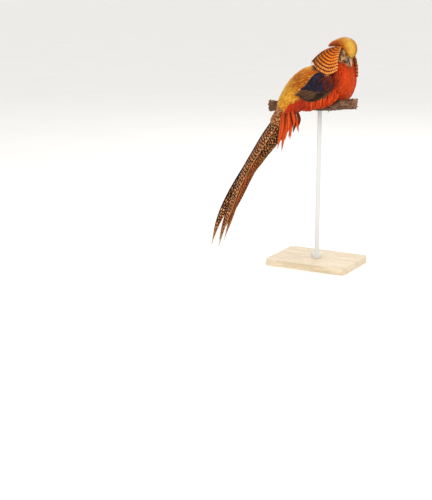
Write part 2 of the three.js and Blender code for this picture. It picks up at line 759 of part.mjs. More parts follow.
function tailCore() {
  const rings = [];
  for (let i = 0; i <= TAIL_CORE_STEPS; i += 1) {
    const t = i / TAIL_CORE_STEPS;
    const { at, over } = tailFrame(TAIL_CORE_END * t);
    const ring = [];
    for (let j = 0; j < TAIL_CORE_SIDES; j += 1) {
      const angle = (2 * Math.PI * j) / TAIL_CORE_SIDES;
      ring.push(
        at.clone()
          .addScaledVector(over, lerp(0, 3, t) + Math.cos(angle) * lerp(15, 9, t))
          .add(v3(0, Math.sin(angle) * lerp(17, 6, t), 0)),
      );
    }
    rings.push(ring);
  }
  return solidOf(skin(rings));
}

// One tail feather: the pairs lie in layers under the middle pair, each lower and shorter than the last.
function rectrix(side, pair) {
  const end = TAIL_ENDS[pair][side > 0 ? "left" : "right"];
  const bend = TAIL_ENDS[pair][side > 0 ? "leftBend" : "rightBend"];
  const tilt = rad(TAIL_ROOF + 1.5 * pair);
  const half = (t) => {
    const broad = along(TAIL_DEPTHS, "depth", t * end) * (pair === 0 ? 0.36 : 0.33);
    return Math.max(0.7, broad * lerp(0.5, 1, Math.min(1, 6 * t)) * (1 - t ** 4.5));
  };
  const frameAt = (t) => {
    const { at, over } = tailFrame(t * end);
    const depth = along(TAIL_DEPTHS, "depth", t * end);
    const out = over.clone().multiplyScalar(Math.cos(tilt)).add(v3(0, side * Math.sin(tilt), 0));
    const down = over.clone().multiplyScalar(-Math.sin(tilt)).add(v3(0, side * Math.cos(tilt), 0));
    const fan = THREE.MathUtils.smoothstep(t * end, -0.05, 0.11);
    const broad = depth * (pair === 0 ? 0.36 : 0.33);
    const from = at.clone().addScaledVector(over, fan * (depth / 2)).add(v3(0, side * 0.8, 0));
    const open = TAIL_OPEN[pair] * THREE.MathUtils.smoothstep(t * end, 0.35, 0.72);
    const below = fan * (broad + pair * TAIL_STEP * (1 - 0.35 * t) + open) + (1 - fan) * 2 * pair;
    from.addScaledVector(down, below).addScaledVector(out, -TAIL_LAYER * pair * lerp(0.5, 1, fan));
    from.addScaledVector(over, bend * THREE.MathUtils.smoothstep(t, 0.42, 0.92));
    return { at: from, side: down, out };
  };
  return strip(frameAt, half, TAIL_FEATHER_STEPS - Math.round(3 * (1 - end)));
}

function tailFeathers() {
  const vanes = [];
  for (let pair = 0; pair < TAIL_PAIRS; pair += 1) {
    vanes.push(rectrix(1, pair), rectrix(-1, pair));
  }
  return vanes;
}

// Branch
const BRANCH_LINE = new THREE.CatmullRomCurve3([
  v3(-184, 69, -16),
  v3(-120, 62, -12),
  v3(-52, 36, -5),
  v3(0, 0, 0),
  v3(48, -28, 6),
  v3(117, -36, 17),
]);

const BRANCH_UNDER_BIRD = nearestShare(BRANCH_LINE, v3(0, 0, 0));

// The share of the way along a line where it passes nearest to a point.
function nearestShare(line, point) {
  const samples = 400;
  let best = 0;
  for (let i = 1; i <= samples; i += 1) {
    if (line.getPointAt(i / samples).distanceTo(point) < line.getPointAt(best / samples).distanceTo(point)) {
      best = i;
    }
  }
  return best / samples;
}

// A tube along a line, with its radius given by the share of the way and the angle round it.
function tube(line, radiusAt, steps, sides) {
  const rings = [];
  for (let i = 0; i <= steps; i += 1) {
    const at = line.getPointAt(i / steps);
    const run = line.getTangentAt(i / steps);
    const side = run.clone().cross(v3(0, 0, 1)).normalize();
    const up = side.clone().cross(run);
    const ring = [];
    for (let j = 0; j < sides; j += 1) {
      const angle = (2 * Math.PI * j) / sides;
      const radius = radiusAt(i / steps, angle);
      ring.push(
        at.clone()
          .addScaledVector(up, Math.cos(angle) * radius)
          .addScaledVector(side, Math.sin(angle) * radius),
      );
    }
    rings.push(ring);
  }
  return skin(rings);
}

function branchForm() {
  const bump = (t) => KNOT_HEIGHT * Math.exp(-(((t - KNOT_AT) / KNOT_LONG) ** 2));
  const knot = (t, angle) => bump(t) * Math.max(0, Math.cos(angle - 2));
  const bark = (t, angle) => 0.7 * Math.sin(3 * angle + 11 * t) + 0.5 * Math.sin(5 * angle - 19 * t);
  const flare = (share, t) => share * Math.exp(-t / 0.07);
  const end = (t) => 1 + flare(BRANCH_FLARE.left, t) + flare(BRANCH_FLARE.right, 1 - t);
  const radius = (t, angle) => (BRANCH_RADIUS + bark(t, angle)) * end(t) + knot(t, angle);
  return tube(BRANCH_LINE, radius, BRANCH_STEPS, BRANCH_SIDES);
}

// Feet: each grips the branch with three toes in front and one behind. Spread is how far a toe's tip
// stands off along the branch, and wrap how far round the branch it reaches, in degrees from the top.
const TOES = [
  { spread: -13, wrap: 112, claw: 9 },
  { spread: -2, wrap: 126, claw: 10 },
  { spread: 10, wrap: 110, claw: 9 },
  { spread: -1, wrap: -74, claw: 7 },
];
const TOE_STEPS = 4;
const TOE_SIDES = 6;
const BARK_HEIGHT = 1.5;
const TOE_HUG = BRANCH_RADIUS + BARK_HEIGHT + TOE_RADIUS + GAP;
const SHANK = { back: 38, out: 9, up: 22 };
const POCKET_HALF = 19;

function rodForm(line, radiusAt, steps, sides) {
  const rings = [];
  const frames = line.computeFrenetFrames(steps, false);
  for (let i = 0; i <= steps; i += 1) {
    const at = line.getPointAt(i / steps);
    const radius = radiusAt(i / steps);
    const ring = [];
    for (let j = 0; j < sides; j += 1) {
      const angle = (2 * Math.PI * j) / sides;
      ring.push(
        at.clone()
          .addScaledVector(frames.normals[i], Math.cos(angle) * radius)
          .addScaledVector(frames.binormals[i], Math.sin(angle) * radius),
      );
    }
    rings.push(ring);
  }
  return skin(rings);
}

// Where a foot stands: the branch's axis there, its run, and the directions up and to the bird's front.
function footStance(side) {
  const share = BRANCH_UNDER_BIRD - (side * FOOT_ALONG_BRANCH) / BRANCH_LINE.getLength();
  const at = BRANCH_LINE.getPointAt(share);
  const run = BRANCH_LINE.getTangentAt(share);
  const up = v3(0, 0, 1).addScaledVector(run, -run.z).normalize();
  return { at, run, up, front: run.clone().cross(up).negate() };
}

function shank(side, grow) {
  const { at, up } = footStance(side);
  const pad = at.clone().addScaledVector(up, TOE_HUG);
  const ankle = pad.clone().add(v3(-SHANK.back, side * SHANK.out, SHANK.up));
  const line = new THREE.CatmullRomCurve3([pad, pad.clone().lerp(ankle, 0.5).add(v3(0, 0, -1)), ankle]);
  return solidOf(rodForm(line, (t) => TARSUS_RADIUS * (1 + 0.25 * (2 * t - 1) ** 2), 3, 7), grow);
}

function toe(stance, { spread, wrap, claw }) {
  const { at, run, up, front } = stance;
  const points = [];
  for (let i = 0; i <= TOE_STEPS; i += 1) {
    const turn = rad((wrap * i) / TOE_STEPS);
    points.push(
      at.clone()
        .addScaledVector(up, Math.cos(turn) * TOE_HUG)
        .addScaledVector(front, Math.sin(turn) * TOE_HUG)
        .addScaledVector(run, spread * Math.min(1, (1.6 * i) / TOE_STEPS)),
    );
  }
  const line = new THREE.CatmullRomCurve3(points);
  const radius = (t) => TOE_RADIUS * (1 - 0.22 * t) * (1 + 0.07 * Math.sin(9 * Math.PI * t));
  const end = points[TOE_STEPS];
  const heading = line.getTangentAt(1);
  const away = end.clone().sub(at);
  away.addScaledVector(run, -away.dot(run)).normalize();
  const clawLine = new THREE.CatmullRomCurve3([
    end.clone().addScaledVector(heading, -2),
    end.clone().addScaledVector(heading, claw * 0.5).addScaledVector(away, 0.6),
    end.clone().addScaledVector(heading, claw).addScaledVector(away, -0.4),
  ]);
  return [
    solidOf(rodForm(line, radius, TOE_STEPS, TOE_SIDES)),
    solidOf(rodForm(clawLine, (t) => lerp(1.9, 0.35, t), 2, 5)),
  ];
}

function footSolid(side) {
  const stance = footStance(side);
  const pad = ball(stance.at.clone().addScaledVector(stance.up, TOE_HUG + 0.6), TOE_RADIUS + 1.6, 8, 6);
  return joined([pad, shank(side, 0), ...TOES.flatMap((each) => toe(stance, each))]);
}

// The room that a foot takes up in the belly's feathers.
function footRoom(side) {
  const { at, run } = footStance(side);
  const grip = new THREE.LineCurve3(
    at.clone().addScaledVector(run, -POCKET_HALF),
    at.clone().addScaledVector(run, POCKET_HALF),
  );
  return joined([solidOf(rodForm(grip, () => TOE_HUG + TOE_RADIUS + 2.8, 1, 12)), shank(side, 2 * GAP)]);
}

// Thigh: the feathered drumstick and flank that hang beside the belly over the foot.
const THIGH_STEPS = 5;
const THIGH_SIDES = 14;
const THIGH_LONG = 34;
const THIGH_WIDE = 17;

function thighForm(side) {
  const rings = [];
  const line = new THREE.CatmullRomCurve3([
    v3(12, side * 36, 46),
    v3(4, side * 40, 24),
    v3(-12, side * 42, 4),
    v3(-26, side * 40, -11),
  ]);
  for (let i = 0; i <= THIGH_STEPS; i += 1) {
    const t = i / THIGH_STEPS;
    const at = line.getPointAt(t);
    const size = 1 - 0.55 * t ** 2.5;
    const ring = [];
    for (let j = 0; j < THIGH_SIDES; j += 1) {
      const angle = (2 * Math.PI * j) / THIGH_SIDES;
      const off = v3(Math.cos(angle) * THIGH_LONG, Math.sin(angle) * THIGH_WIDE, 0);
      ring.push(at.clone().addScaledVector(off, size));
    }
    rings.push(ring);
  }
  return skin(rings);
}

// Stand

function baseSolid() {
  const [x, y, c] = [BASE_LENGTH / 2, BASE_WIDTH / 2, BASE_CORNER];
  const outline = new THREE.Shape();
  outline.moveTo(-x + c, -y);
  outline.lineTo(x - c, -y);
  outline.absarc(x - c, -y + c, c, -Math.PI / 2, 0, false);
  outline.lineTo(x, y - c);
  outline.absarc(x - c, y - c, c, 0, Math.PI / 2, false);
  outline.lineTo(-x + c, y);
  outline.absarc(-x + c, y - c, c, Math.PI / 2, Math.PI, false);
  outline.lineTo(-x, -y + c);
  outline.absarc(-x + c, -y + c, c, Math.PI, 1.5 * Math.PI, false);
  const settings = { depth: BASE_THICK, bevelEnabled: false, curveSegments: 4 };
  const base = new THREE.ExtrudeGeometry(outline, settings);
  base.translate(0, 0, -PERCH_HEIGHT);
  return solidOf(base);
}

function upright(radius, from, to, sides) {
  const rod = new THREE.CylinderGeometry(radius, radius, to - from, sides);
  rod.rotateX(Math.PI / 2);
  rod.translate(0, 0, (from + to) / 2);
  return solidOf(rod);
}

// Parts

const group = new THREE.Group();

function addPart(name, solid, colour, roughness, metalness = 0) {
  const geometry = geometryOf(solid);
  geometry.translate(0, 0, PERCH_HEIGHT);
  const material = new THREE.MeshStandardMaterial({ color: colour, roughness, metalness });
  const mesh = new THREE.Mesh(geometry, material);
  mesh.name = name;
  group.add(mesh);
}

const both = (make) => SIDES.map(([, side]) => make(side));
const torsoWhole = solidOf(torsoForm());
const torsoGrown = solidOf(torsoForm(), CLEAR);
const neckGrown = solidOf(neckForm(), CLEAR);
const skull = headLoft(SKULL, 10, HEAD_SIDES);
const headGrown = solidOf(skull, CLEAR);
const billUpper = headLoft(BILL_UPPER, 7, 12);
const billUpperGrown = solidOf(billUpper, CLEAR);
const billLower = headLoft(BILL_LOWER, 6, 10);
const billLowerGrown = solidOf(billLower, CLEAR);
const eyeHoles = both((side) => ball(eyeAt(side), EYE_RADIUS + GAP));
const lidsGrown = both((side) => lidRing(side, CLEAR));
const crestGrown = solidOf(crestForm(1), CREST_SHELL + CLEAR);
const branchGrown = solidOf(branchForm(), CLEAR);
const footRooms = both(footRoom);
const thighsGrown = both((side) => solidOf(thighForm(side), CLEAR));
const wingRooms = both((side) =>
  solidOf(wingForm(side, FLIGHT_END + WING_ROOM_PAST, WING_SHELL, WING_ROOM_BROAD), CLEAR),
);
const capeRoom = capeCore(CAPE_SHELL + CLEAR, CAPE_OPEN + CAPE_ROOM_OPEN, CAPE_ROOM_RIM);
const rodTop = -BRANCH_RADIUS + ROD_IN_BRANCH;
const rodFoot = BASE_THICK - PERCH_HEIGHT;
const wings = both((side) =>
  without(
    joined([solidOf(wingForm(side, WING_CORE_END, -CORE_UNDER)), ...wingFeathers(side)]),
    [torsoGrown, capeRoom],
  ),
);
const underside = [branchGrown, ...thighsGrown, ...footRooms];

const body = ahead(torsoWhole, rumpPlane, GAP);
const rear = behind(torsoWhole, rumpPlane);
const upper = ahead(body, goldPlane, GAP);
const mantleFeathers = MANTLE_ROWS.flatMap(bodyRow);
const rumpFeathers = RUMP_ROWS.flatMap(bodyRow);
addPart("torso", without(behind(body, goldPlane), underside), 0xc8401c, 0.8);
addPart("back", without(behind(upper, mantlePlane), mantleFeathers.map(swelled)), 0xe0a030, 0.8);
addPart(
  "mantle",
  joined([ahead(upper, mantlePlane, GAP), ...mantleFeathers]).subtract(capeRoom),
  0x24381c,
  0.8,
);
addPart("rump", joined([without(ahead(rear, goldPlane, GAP), underside), ...rumpFeathers]), 0xe0a030, 0.8);
addPart(
  "vent",
  without(behind(joined([rear, ...both(coverts).flat()]), goldPlane), [
    ...underside,
    ...rumpFeathers.map(swelled),
  ]),
  0xd04818,
  0.8,
);
addPart(
  "neck",
  ahead(without(solidOf(neckForm()), [headGrown, ...eyeHoles, ...lidsGrown]), neckPlane, GAP),
  0xc8401c,
  0.8,
);
addPart(
  "head",
  without(joined([solidOf(skull), ...both(lidRing)]), [billUpperGrown, billLowerGrown, ...eyeHoles]),
  0xc09060,
  0.8,
);
addPart("bill_upper", without(solidOf(billUpper), [billLowerGrown, ...both(nostril)]), 0x6a5a48, 0.5);
addPart("bill_lower", solidOf(billLower), 0x6a5a48, 0.5);
for (const [name, side] of SIDES) {
  addPart(`eye_${name}`, ball(eyeAt(side), EYE_RADIUS), 0xe8e0c0, 0.15);
}
const headSides = [headGrown, neckGrown, billUpperGrown, ...eyeHoles, ...lidsGrown];
addPart(
  "crest",
  without(joined([solidOf(crestForm(CREST_CORE_END, -CORE_UNDER)), ...crestLocks()]), headSides),
  0xe0a030,
  0.7,
);
addPart(
  "cape",
  without(
    joined([capeCore(-CORE_UNDER, CAPE_OPEN, CAPE_CORE_RIM), ...capeFeathers()]),
    [torsoGrown, neckGrown, headGrown, crestGrown, ...lidsGrown, ...eyeHoles],
  ),
  0xe08828,
  0.75,
);
for (const [i, [name, side]] of SIDES.entries()) {
  addPart(`wing_${name}`, wings[i], 0x202440, 0.7);
  const thigh = without(solidOf(thighForm(side)), [branchGrown, ...footRooms, ...wingRooms]);
  addPart(`thigh_${name}`, thigh, 0xb83818, 0.8);
  addPart(`foot_${name}`, footSolid(side).subtract(branchGrown), 0xc8a050, 0.6);
}
addPart("tail", behind(joined([tailCore(), ...tailFeathers()]), tailPlane, GAP), 0x7a5230, 0.75);
addPart(
  "perch_branch",
  solidOf(branchForm()).subtract(upright(ROD_RADIUS + GAP, rodFoot, rodTop + GAP, ROD_SIDES)),
  0x5a4032,
  0.9,
);
addPart("stand_rod", upright(ROD_RADIUS, rodFoot + GAP, rodTop, ROD_SIDES), 0x303030, 0.4, 0.8);
addPart(
  "stand_collar",
  upright(COLLAR_RADIUS, rodFoot + GAP, rodFoot + COLLAR_HEIGHT, ROD_SIDES).subtract(
    upright(ROD_RADIUS + GAP, rodFoot, rodFoot + 2 * COLLAR_HEIGHT, ROD_SIDES),
  ),
  0x303030,
  0.4,
  0.8,
);
addPart("stand_base", baseSolid(), 0x4a3020, 0.6);

export default group;
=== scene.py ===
"""Looks of the golden pheasant on its perch: skin, feathers, head, feet, branch and stand.

Lengths in the shapes are millimetres from the perch point, where the branch's axis passes under the
belly. Everything becomes metres in the CAD frame when its mesh is made.
"""

import math

import bpy
import numpy as np
from mathutils import Matrix, Vector
from mathutils.kdtree import KDTree


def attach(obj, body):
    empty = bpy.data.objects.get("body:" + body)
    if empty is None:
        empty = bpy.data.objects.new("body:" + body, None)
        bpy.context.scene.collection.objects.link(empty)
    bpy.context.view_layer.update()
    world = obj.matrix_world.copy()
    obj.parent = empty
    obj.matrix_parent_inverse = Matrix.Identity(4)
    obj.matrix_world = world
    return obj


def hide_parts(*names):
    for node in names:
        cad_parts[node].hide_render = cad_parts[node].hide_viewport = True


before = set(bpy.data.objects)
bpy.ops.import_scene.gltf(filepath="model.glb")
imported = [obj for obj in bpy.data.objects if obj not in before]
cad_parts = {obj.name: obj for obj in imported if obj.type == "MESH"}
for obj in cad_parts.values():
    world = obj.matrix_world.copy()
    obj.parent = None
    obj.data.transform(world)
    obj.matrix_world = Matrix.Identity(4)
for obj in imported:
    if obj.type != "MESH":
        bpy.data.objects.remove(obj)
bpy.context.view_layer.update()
draw = np.random.default_rng(20)

PERCH_HEIGHT = 447
TAU = 2 * math.pi


def row(*values):
    return np.array(values, dtype=float)


def unit(vectors):
    return vectors / np.maximum(np.linalg.norm(vectors, axis=-1, keepdims=True), 1e-9)


def smooth(value, low, high):
    """0 below low, 1 above high and a soft step between them."""
    t = np.clip((value - low) / (high - low), 0, 1)
    return t * t * (3 - 2 * t)


def mix(first, second, share):
    share = np.asarray(share)[..., None]
    return first * (1 - share) + second * share


def colour(red, green, blue):
    """A colour given in 0 to 255, as the linear values that shaders read."""
    value = np.array([red, green, blue]) / 255
    return np.where(value <= 0.04045, value / 12.92, ((value + 0.055) / 1.055) ** 2.4)


# The bird's main surfaces

# Torso stations from the sleeve round the tail's root to the neck: back line, belly line, half width
TORSO = row(
    [-147, -46, -105, -68, 25],
    [-127, -10, -92, -34, 24],
    [-121, 13, -78, -29, 31],
    [-104, 43, -60, -18, 41],
    [-80, 75, -40, -6, 49],
    [-48, 100, -14, 6, 55],
    [-11, 113, 18, 9.5, 57],
    [23, 120, 54, 9.5, 55],
    [42, 128, 81, 22, 50],
    [50, 134, 95.5, 48, 43],
    [55, 139, 100, 72, 36],
    [57, 146, 98.5, 95, 28],
    [58, 155, 97, 116, 22],
)
SPINE_FROM_TOP = 0.46
TORSO_SQUARE = 2.25
NECK_PLACE = 0.82
NECK_SHARE = 0.3
HEAD_AT = row(80.4, -12.4, 151.5)
HEAD_YAW = math.radians(-38)
HEAD_PITCH = math.radians(-50)
HEAD_FORWARD = row(
    math.cos(HEAD_YAW) * math.cos(HEAD_PITCH),
    math.sin(HEAD_YAW) * math.cos(HEAD_PITCH),
    math.sin(HEAD_PITCH),
)
HEAD_UP = unit(row(0, 0, 1) - HEAD_FORWARD * HEAD_FORWARD[2])
HEAD_RIGHT = np.cross(HEAD_FORWARD, HEAD_UP)


def along(stations, place):
    """Stations read smoothly at places from 0 to 1."""
    at = np.clip(np.asarray(place, dtype=float), 0, 1) * (len(stations) - 1)
    i = np.minimum(at.astype(int), len(stations) - 2)
    t = (at - i)[..., None]
    start, end = stations[i], stations[i + 1]
    before = stations[np.maximum(i - 1, 0)]
    after = stations[np.minimum(i + 2, len(stations) - 1)]
    bend = 2 * before - 5 * start + 4 * end - after
    twist = 3 * start - before - 3 * end + after
    return 0.5 * (2 * start + (end - before) * t + bend * t**2 + twist * t**3)


def rounded(angle, square):
    turn = np.radians(angle)
    c, s = np.cos(turn), np.sin(turn)
    return np.sign(c) * np.abs(c) ** (2 / square), np.sign(s) * np.abs(s) ** (2 / square)


def on_head(f, r, u):
    f, r, u = (np.asarray(value, dtype=float)[..., None] for value in (f, r, u))
    return HEAD_AT + HEAD_FORWARD * f + HEAD_RIGHT * r + HEAD_UP * u


def torso(place, angle, lift):
    place, angle, lift = np.broadcast_arrays(np.asarray(place, dtype=float), angle, lift)
    tx, tz, bx, bz, wide = np.moveaxis(along(TORSO, place), -1, 0)
    none = np.zeros_like(tx)
    top, foot = np.stack([tx, none, tz], -1), np.stack([bx, none, bz], -1)
    depth = np.linalg.norm(top - foot, axis=-1)
    c, s = rounded(angle, TORSO_SQUARE)
    reach = depth * np.where(c > 0, SPINE_FROM_TOP, 1 - SPINE_FROM_TOP) + lift
    down = unit(top - foot) * (c * reach - depth * SPINE_FROM_TOP)[..., None]
    return top + down + np.stack([none, s * (wide + lift), none], -1)


NECK_MIDDLE = on_head(-6, 0, -8)
NECK_FOOT = torso(NECK_PLACE, np.arange(0, 360, 15), 0).mean(axis=0)
NECK_AXIS = unit(NECK_MIDDLE - NECK_FOOT)
NECK_SIDE = unit(row(0, 1, 0) - NECK_AXIS * NECK_AXIS[1])
NECK_FRONT = np.cross(NECK_SIDE, NECK_AXIS)


def trunk(place, angle, lift):
    """The torso, and past its neck place the neck up into the head."""
    place, angle, lift = np.broadcast_arrays(np.asarray(place, dtype=float), angle, lift)
    t = np.clip((place - NECK_PLACE) / NECK_SHARE, 0, 1)[..., None]
    turn = np.radians(angle)[..., None]
    out = lift[..., None]
    head = NECK_MIDDLE - NECK_FRONT * np.cos(turn) * (17 + out) + NECK_SIDE * np.sin(turn) * (15 + out)
    return torso(np.minimum(place, NECK_PLACE), angle, lift) * (1 - t) + head * t


# Skull stations from nape to bill: forward, height, half width, depth above and below
SKULL = row(
    [-25, 2, 5, 6, 6],
    [-22, 1, 11, 11, 11],
    [-13, 0, 15, 15, 15],
    [-3, 0, 15.2, 15, 16],
    [6, -0.5, 13, 13, 14],
    [15, -1, 9.6, 10, 10.5],
    [23, -1, 6.4, 6.6, 6.6],
)
BILL_UPPER = row(
    [18, 0, 6.2, 5.2, 1.4],
    [25.5, 0, 5.9, 4.9, 1.8],
    [32, -0.8, 5, 4, 1.8],
    [39, -3, 3.5, 2.8, 2],
    [45, -7, 1.2, 1.2, 1.2],
)
BILL_LOWER = row(
    [18, -3.6, 5, 1.9, 2.8],
    [26, -3.7, 4.6, 1.6, 2.5],
    [33, -4.3, 3.6, 1.4, 1.9],
    [40.5, -6.4, 1.8, 0.8, 0.9],
)
EYE_RADIUS = 5.2
EYE_AT = {"f": 3, "r": 10.2, "u": 1.5}


def loft_on_head(stations):
    def surface(place, angle, lift):
        place, angle, lift = np.broadcast_arrays(np.asarray(place, dtype=float), angle, lift)
        f, u, wide, up, down = np.moveaxis(along(stations, place), -1, 0)
        c, s = rounded(angle, 2.1)
        return on_head(f, s * (wide + lift), u + c * (np.where(c > 0, up, down) + lift))

    return surface


skull = loft_on_head(SKULL)

# Crest stations down the middle of its mass: forward, right, up, half width, depths out and in
CREST = row(
    [26, -2, 5, 4, 2.5, 4],
    [20.5, -2.5, 10, 12, 6, 8],
    [10.5, -2.5, 14, 17.5, 11, 10],
    [-3.5, -2.5, 15, 20.5, 14.5, 12],
    [-16.5, -1.5, 11, 20.5, 15, 12],
    [-28.5, 0.5, 2, 18.5, 13, 12.5],
    [-37.5, 5.5, -9.5, 15.5, 9.5, 10],
    [-44, 10.5, -21.5, 12, 7, 7.5],
    [-48, 15.5, -33, 8, 4.5, 4.5],
    [-50.5, 20.5, -43, 2, 1.5, 1.2],
)


def crest(place, angle, lift):
    place, angle, lift = np.broadcast_arrays(np.asarray(place, dtype=float), angle, lift)

    def middle(at):
        return on_head(*np.moveaxis(along(CREST[:, :3], at), -1, 0))

    run = unit(middle(np.minimum(place + 0.02, 1)) - middle(np.maximum(place - 0.02, 0)))
    side = unit(HEAD_RIGHT - run * (run @ HEAD_RIGHT)[..., None])
    out = np.cross(side, run)
    wide, outer, inner = np.moveaxis(along(CREST[:, 3:], place), -1, 0)
    c, s = np.cos(np.radians(angle)), np.sin(np.radians(angle))
    depth = np.where(c > 0, outer, inner) + lift
    return middle(place) - out * (c * depth)[..., None] - side * (s * (wide + lift))[..., None]


CAPE_AT = row(72, -8, 164)
CAPE_YAW = -16
CAPE_OPEN = 100
CAPE_RIM = row([104, 42], [91, 50], [73, 66], [57, 76], [44, 66])
CAPE_LEFT_DROP = 17
CAPE_NECK_RADIUS = 17
CAPE_BULGE = 10.5


def cape(t, angle, lift):
    """The fan from behind the face over the neck and shoulders, t from the neck to the rim."""
    t, angle, lift = np.broadcast_arrays(np.asarray(t, dtype=float), angle, lift)
    share = np.abs(angle) / CAPE_OPEN
    reach, drop = np.moveaxis(along(CAPE_RIM, share), -1, 0)
    drop = drop + np.where(angle > 0, CAPE_LEFT_DROP * share, 0)
    turn = np.radians(180 + CAPE_YAW - angle)
    out = np.stack([np.cos(turn), np.sin(turn), np.zeros_like(turn)], -1)
    up = row(0, 0, 1)
    slope = unit(up * reach[..., None] + out * drop[..., None])
    swell = np.sin(np.pi * np.clip(t, 0, 1)) * CAPE_BULGE + lift
    far = CAPE_NECK_RADIUS + (reach - CAPE_NECK_RADIUS) * t
    return CAPE_AT + out * far[..., None] - up * (drop * t)[..., None] + slope * swell[..., None]


WING_FRONT = 0.655
WING_TIP = 0.4
WING_THICK = 6
# Wing stations from the shoulder past the tip: middle and half width round the body, and how far the
# lower edge stands off
WING = row([84, 15, 0], [89, 26, 2], [97.5, 30.5, 8], [110, 19.5, 13], [109, 10, 12], [103, 2, 6])
WING_END = 1.25


def wing(side):
    """The folded wing: t from shoulder to tip, share from its upper edge, -1, to its lower edge, 1."""

    def surface(t, share, lift):
        t, share, lift = np.broadcast_arrays(np.asarray(t, dtype=float), share, lift)
        middle, half, flare = np.moveaxis(along(WING, t / WING_END), -1, 0)
        thick = 1 + WING_THICK * np.sin(np.pi * (0.12 + 0.73 * np.clip(t, 0, 1)))
        swell = 0.6 + thick * np.sqrt(np.maximum(1.02 - share**2, 0)) + flare * smooth(share, -0.6, 1) + lift
        return torso(WING_FRONT + (WING_TIP - WING_FRONT) * t, side * (middle + share * half), swell)

    return surface


def curve(*points):
    """Samples of a smooth line through points, with their shares of its length."""
    points = np.array(points, dtype=float)
    points = np.vstack([2 * points[0] - points[1], points, 2 * points[-1] - points[-2]])
    samples = []
    for i in range(1, len(points) - 2):
        p0, p1, p2, p3 = points[i - 1 : i + 3]
        d0, d1, d2 = (np.linalg.norm(b - a) ** 0.5 for a, b in ((p0, p1), (p1, p2), (p2, p3)))
        m1 = ((p1 - p0) / d0 - (p2 - p0) / (d0 + d1) + (p2 - p1) / d1) * d1
        m2 = ((p2 - p1) / d1 - (p3 - p1) / (d1 + d2) + (p3 - p2) / d2) * d1
        t = np.linspace(0, 1, 33)[:, None]
        bend = -3 * p1 + 3 * p2 - 2 * m1 - m2
        twist = 2 * p1 - 2 * p2 + m1 + m2
        samples.append(p1 + m1 * t + bend * t**2 + twist * t**3)
    line = np.vstack([part[:-1] for part in samples] + [points[-2:-1]])
    share = np.concatenate([[0], np.cumsum(np.linalg.norm(np.diff(line, axis=0), axis=1))])
    return line, share


def read(line_and_share, t):
    """Points and directions of a line at shares of its length."""
    line, share = line_and_share
    at = np.asarray(t, dtype=float) * share[-1]
    point = np.stack([np.interp(at, share, line[:, k]) for k in range(3)], -1)
    step = 0.01 * share[-1]
    ends = [np.stack([np.interp(at + s, share, line[:, k]) for k in range(3)], -1) for s in (-step, step)]
    return point, unit(ends[1] - ends[0])


def thigh(side):
    line = curve([12, side * 36, 46], [4, side * 40, 24], [-12, side * 42, 4], [-26, side * 40, -11])

    def surface(t, angle, lift):
        t, angle, lift = np.broadcast_arrays(np.asarray(t, dtype=float), angle, lift)
        at, _ = read(line, np.clip(t, 0, 1))
        size = 1 - 0.55 * np.clip(t, 0, 1) ** 2.5
        turn = np.radians(angle)
        off = np.stack([np.cos(turn) * (34 * size + lift), np.sin(turn) * (17 * size + lift), 0 * turn], -1)
        return at + off

    return surface


# Meshes


def add_mesh(name, points, quads, tris, material, soft_faces=None):
    """A mesh object from millimetre points, quads and triangles."""
    mesh = bpy.data.meshes.new(name)
    place = (np.asarray(points).reshape(-1, 3) + row(0, 0, PERCH_HEIGHT)) / 1000
    quads = np.asarray(quads, dtype=np.int32).reshape(-1, 4)
    tris = np.asarray(tris, dtype=np.int32).reshape(-1, 3)
    loops = np.concatenate([quads.ravel(), tris.ravel()])
    totals = np.concatenate([np.full(len(quads), 4), np.full(len(tris), 3)]).astype(np.int32)
    mesh.vertices.add(len(place))
    mesh.vertices.foreach_set("co", place.astype(np.float32).ravel())
    mesh.loops.add(len(loops))
    mesh.loops.foreach_set("vertex_index", loops)
    mesh.polygons.add(len(totals))
    mesh.polygons.foreach_set("loop_start", np.concatenate([[0], np.cumsum(totals)[:-1]]).astype(np.int32))
    mesh.polygons.foreach_set("loop_total", totals)
    if soft_faces is None:
        soft_faces = np.ones(len(totals), dtype=bool)
    mesh.polygons.foreach_set("use_smooth", soft_faces)
    mesh.update(calc_edges=True)
    mesh.validate()
    mesh.materials.append(material)
    made = bpy.data.objects.new(name, mesh)
    bpy.context.scene.collection.objects.link(made)
    return made


def set_values(made, name, values, kind="FLOAT"):
    field = {"FLOAT": "value", "FLOAT_VECTOR": "vector", "FLOAT_COLOR": "color"}[kind]
    layer = made.data.attributes.new(name, kind, "POINT")
    layer.data.foreach_set(field, np.ascontiguousarray(values, dtype=np.float32).ravel())


def set_uv(made, uv):
    layer = made.data.uv_layers.new(name="OFBake")
    corner = np.empty(len(made.data.loops), dtype=np.int32)
    made.data.loops.foreach_get("vertex_index", corner)
    layer.data.foreach_set("uv", uv.reshape(-1, 2)[corner].astype(np.float32).ravel())


def points_of(made):
    """A piece's points, back in millimetres from the perch point."""
    points = np.empty(len(made.data.vertices) * 3)
    made.data.vertices.foreach_get("co", points)
    return points.reshape(-1, 3) * 1000 - row(0, 0, PERCH_HEIGHT)


def set_tone(made, tone):
    """The tone that a piece's material reads at each of its points."""
    set_values(made, "plume", np.concatenate([tone, np.ones_like(tone[..., :1])], -1), "FLOAT_COLOR")


def outwards(flat, quads, tris):
    """Points and faces of a closed piece, the faces turned round if they look inwards."""
    corner = flat[np.vstack([quads[:, [0, 1, 2]], quads[:, [0, 2, 3]], tris])]
    volume = np.einsum("ij,ij->", corner[:, 0], np.cross(corner[:, 1], corner[:, 2]))
    if volume < 0:
        quads, tris = quads[:, ::-1], tris[:, ::-1]
    return flat, quads, tris


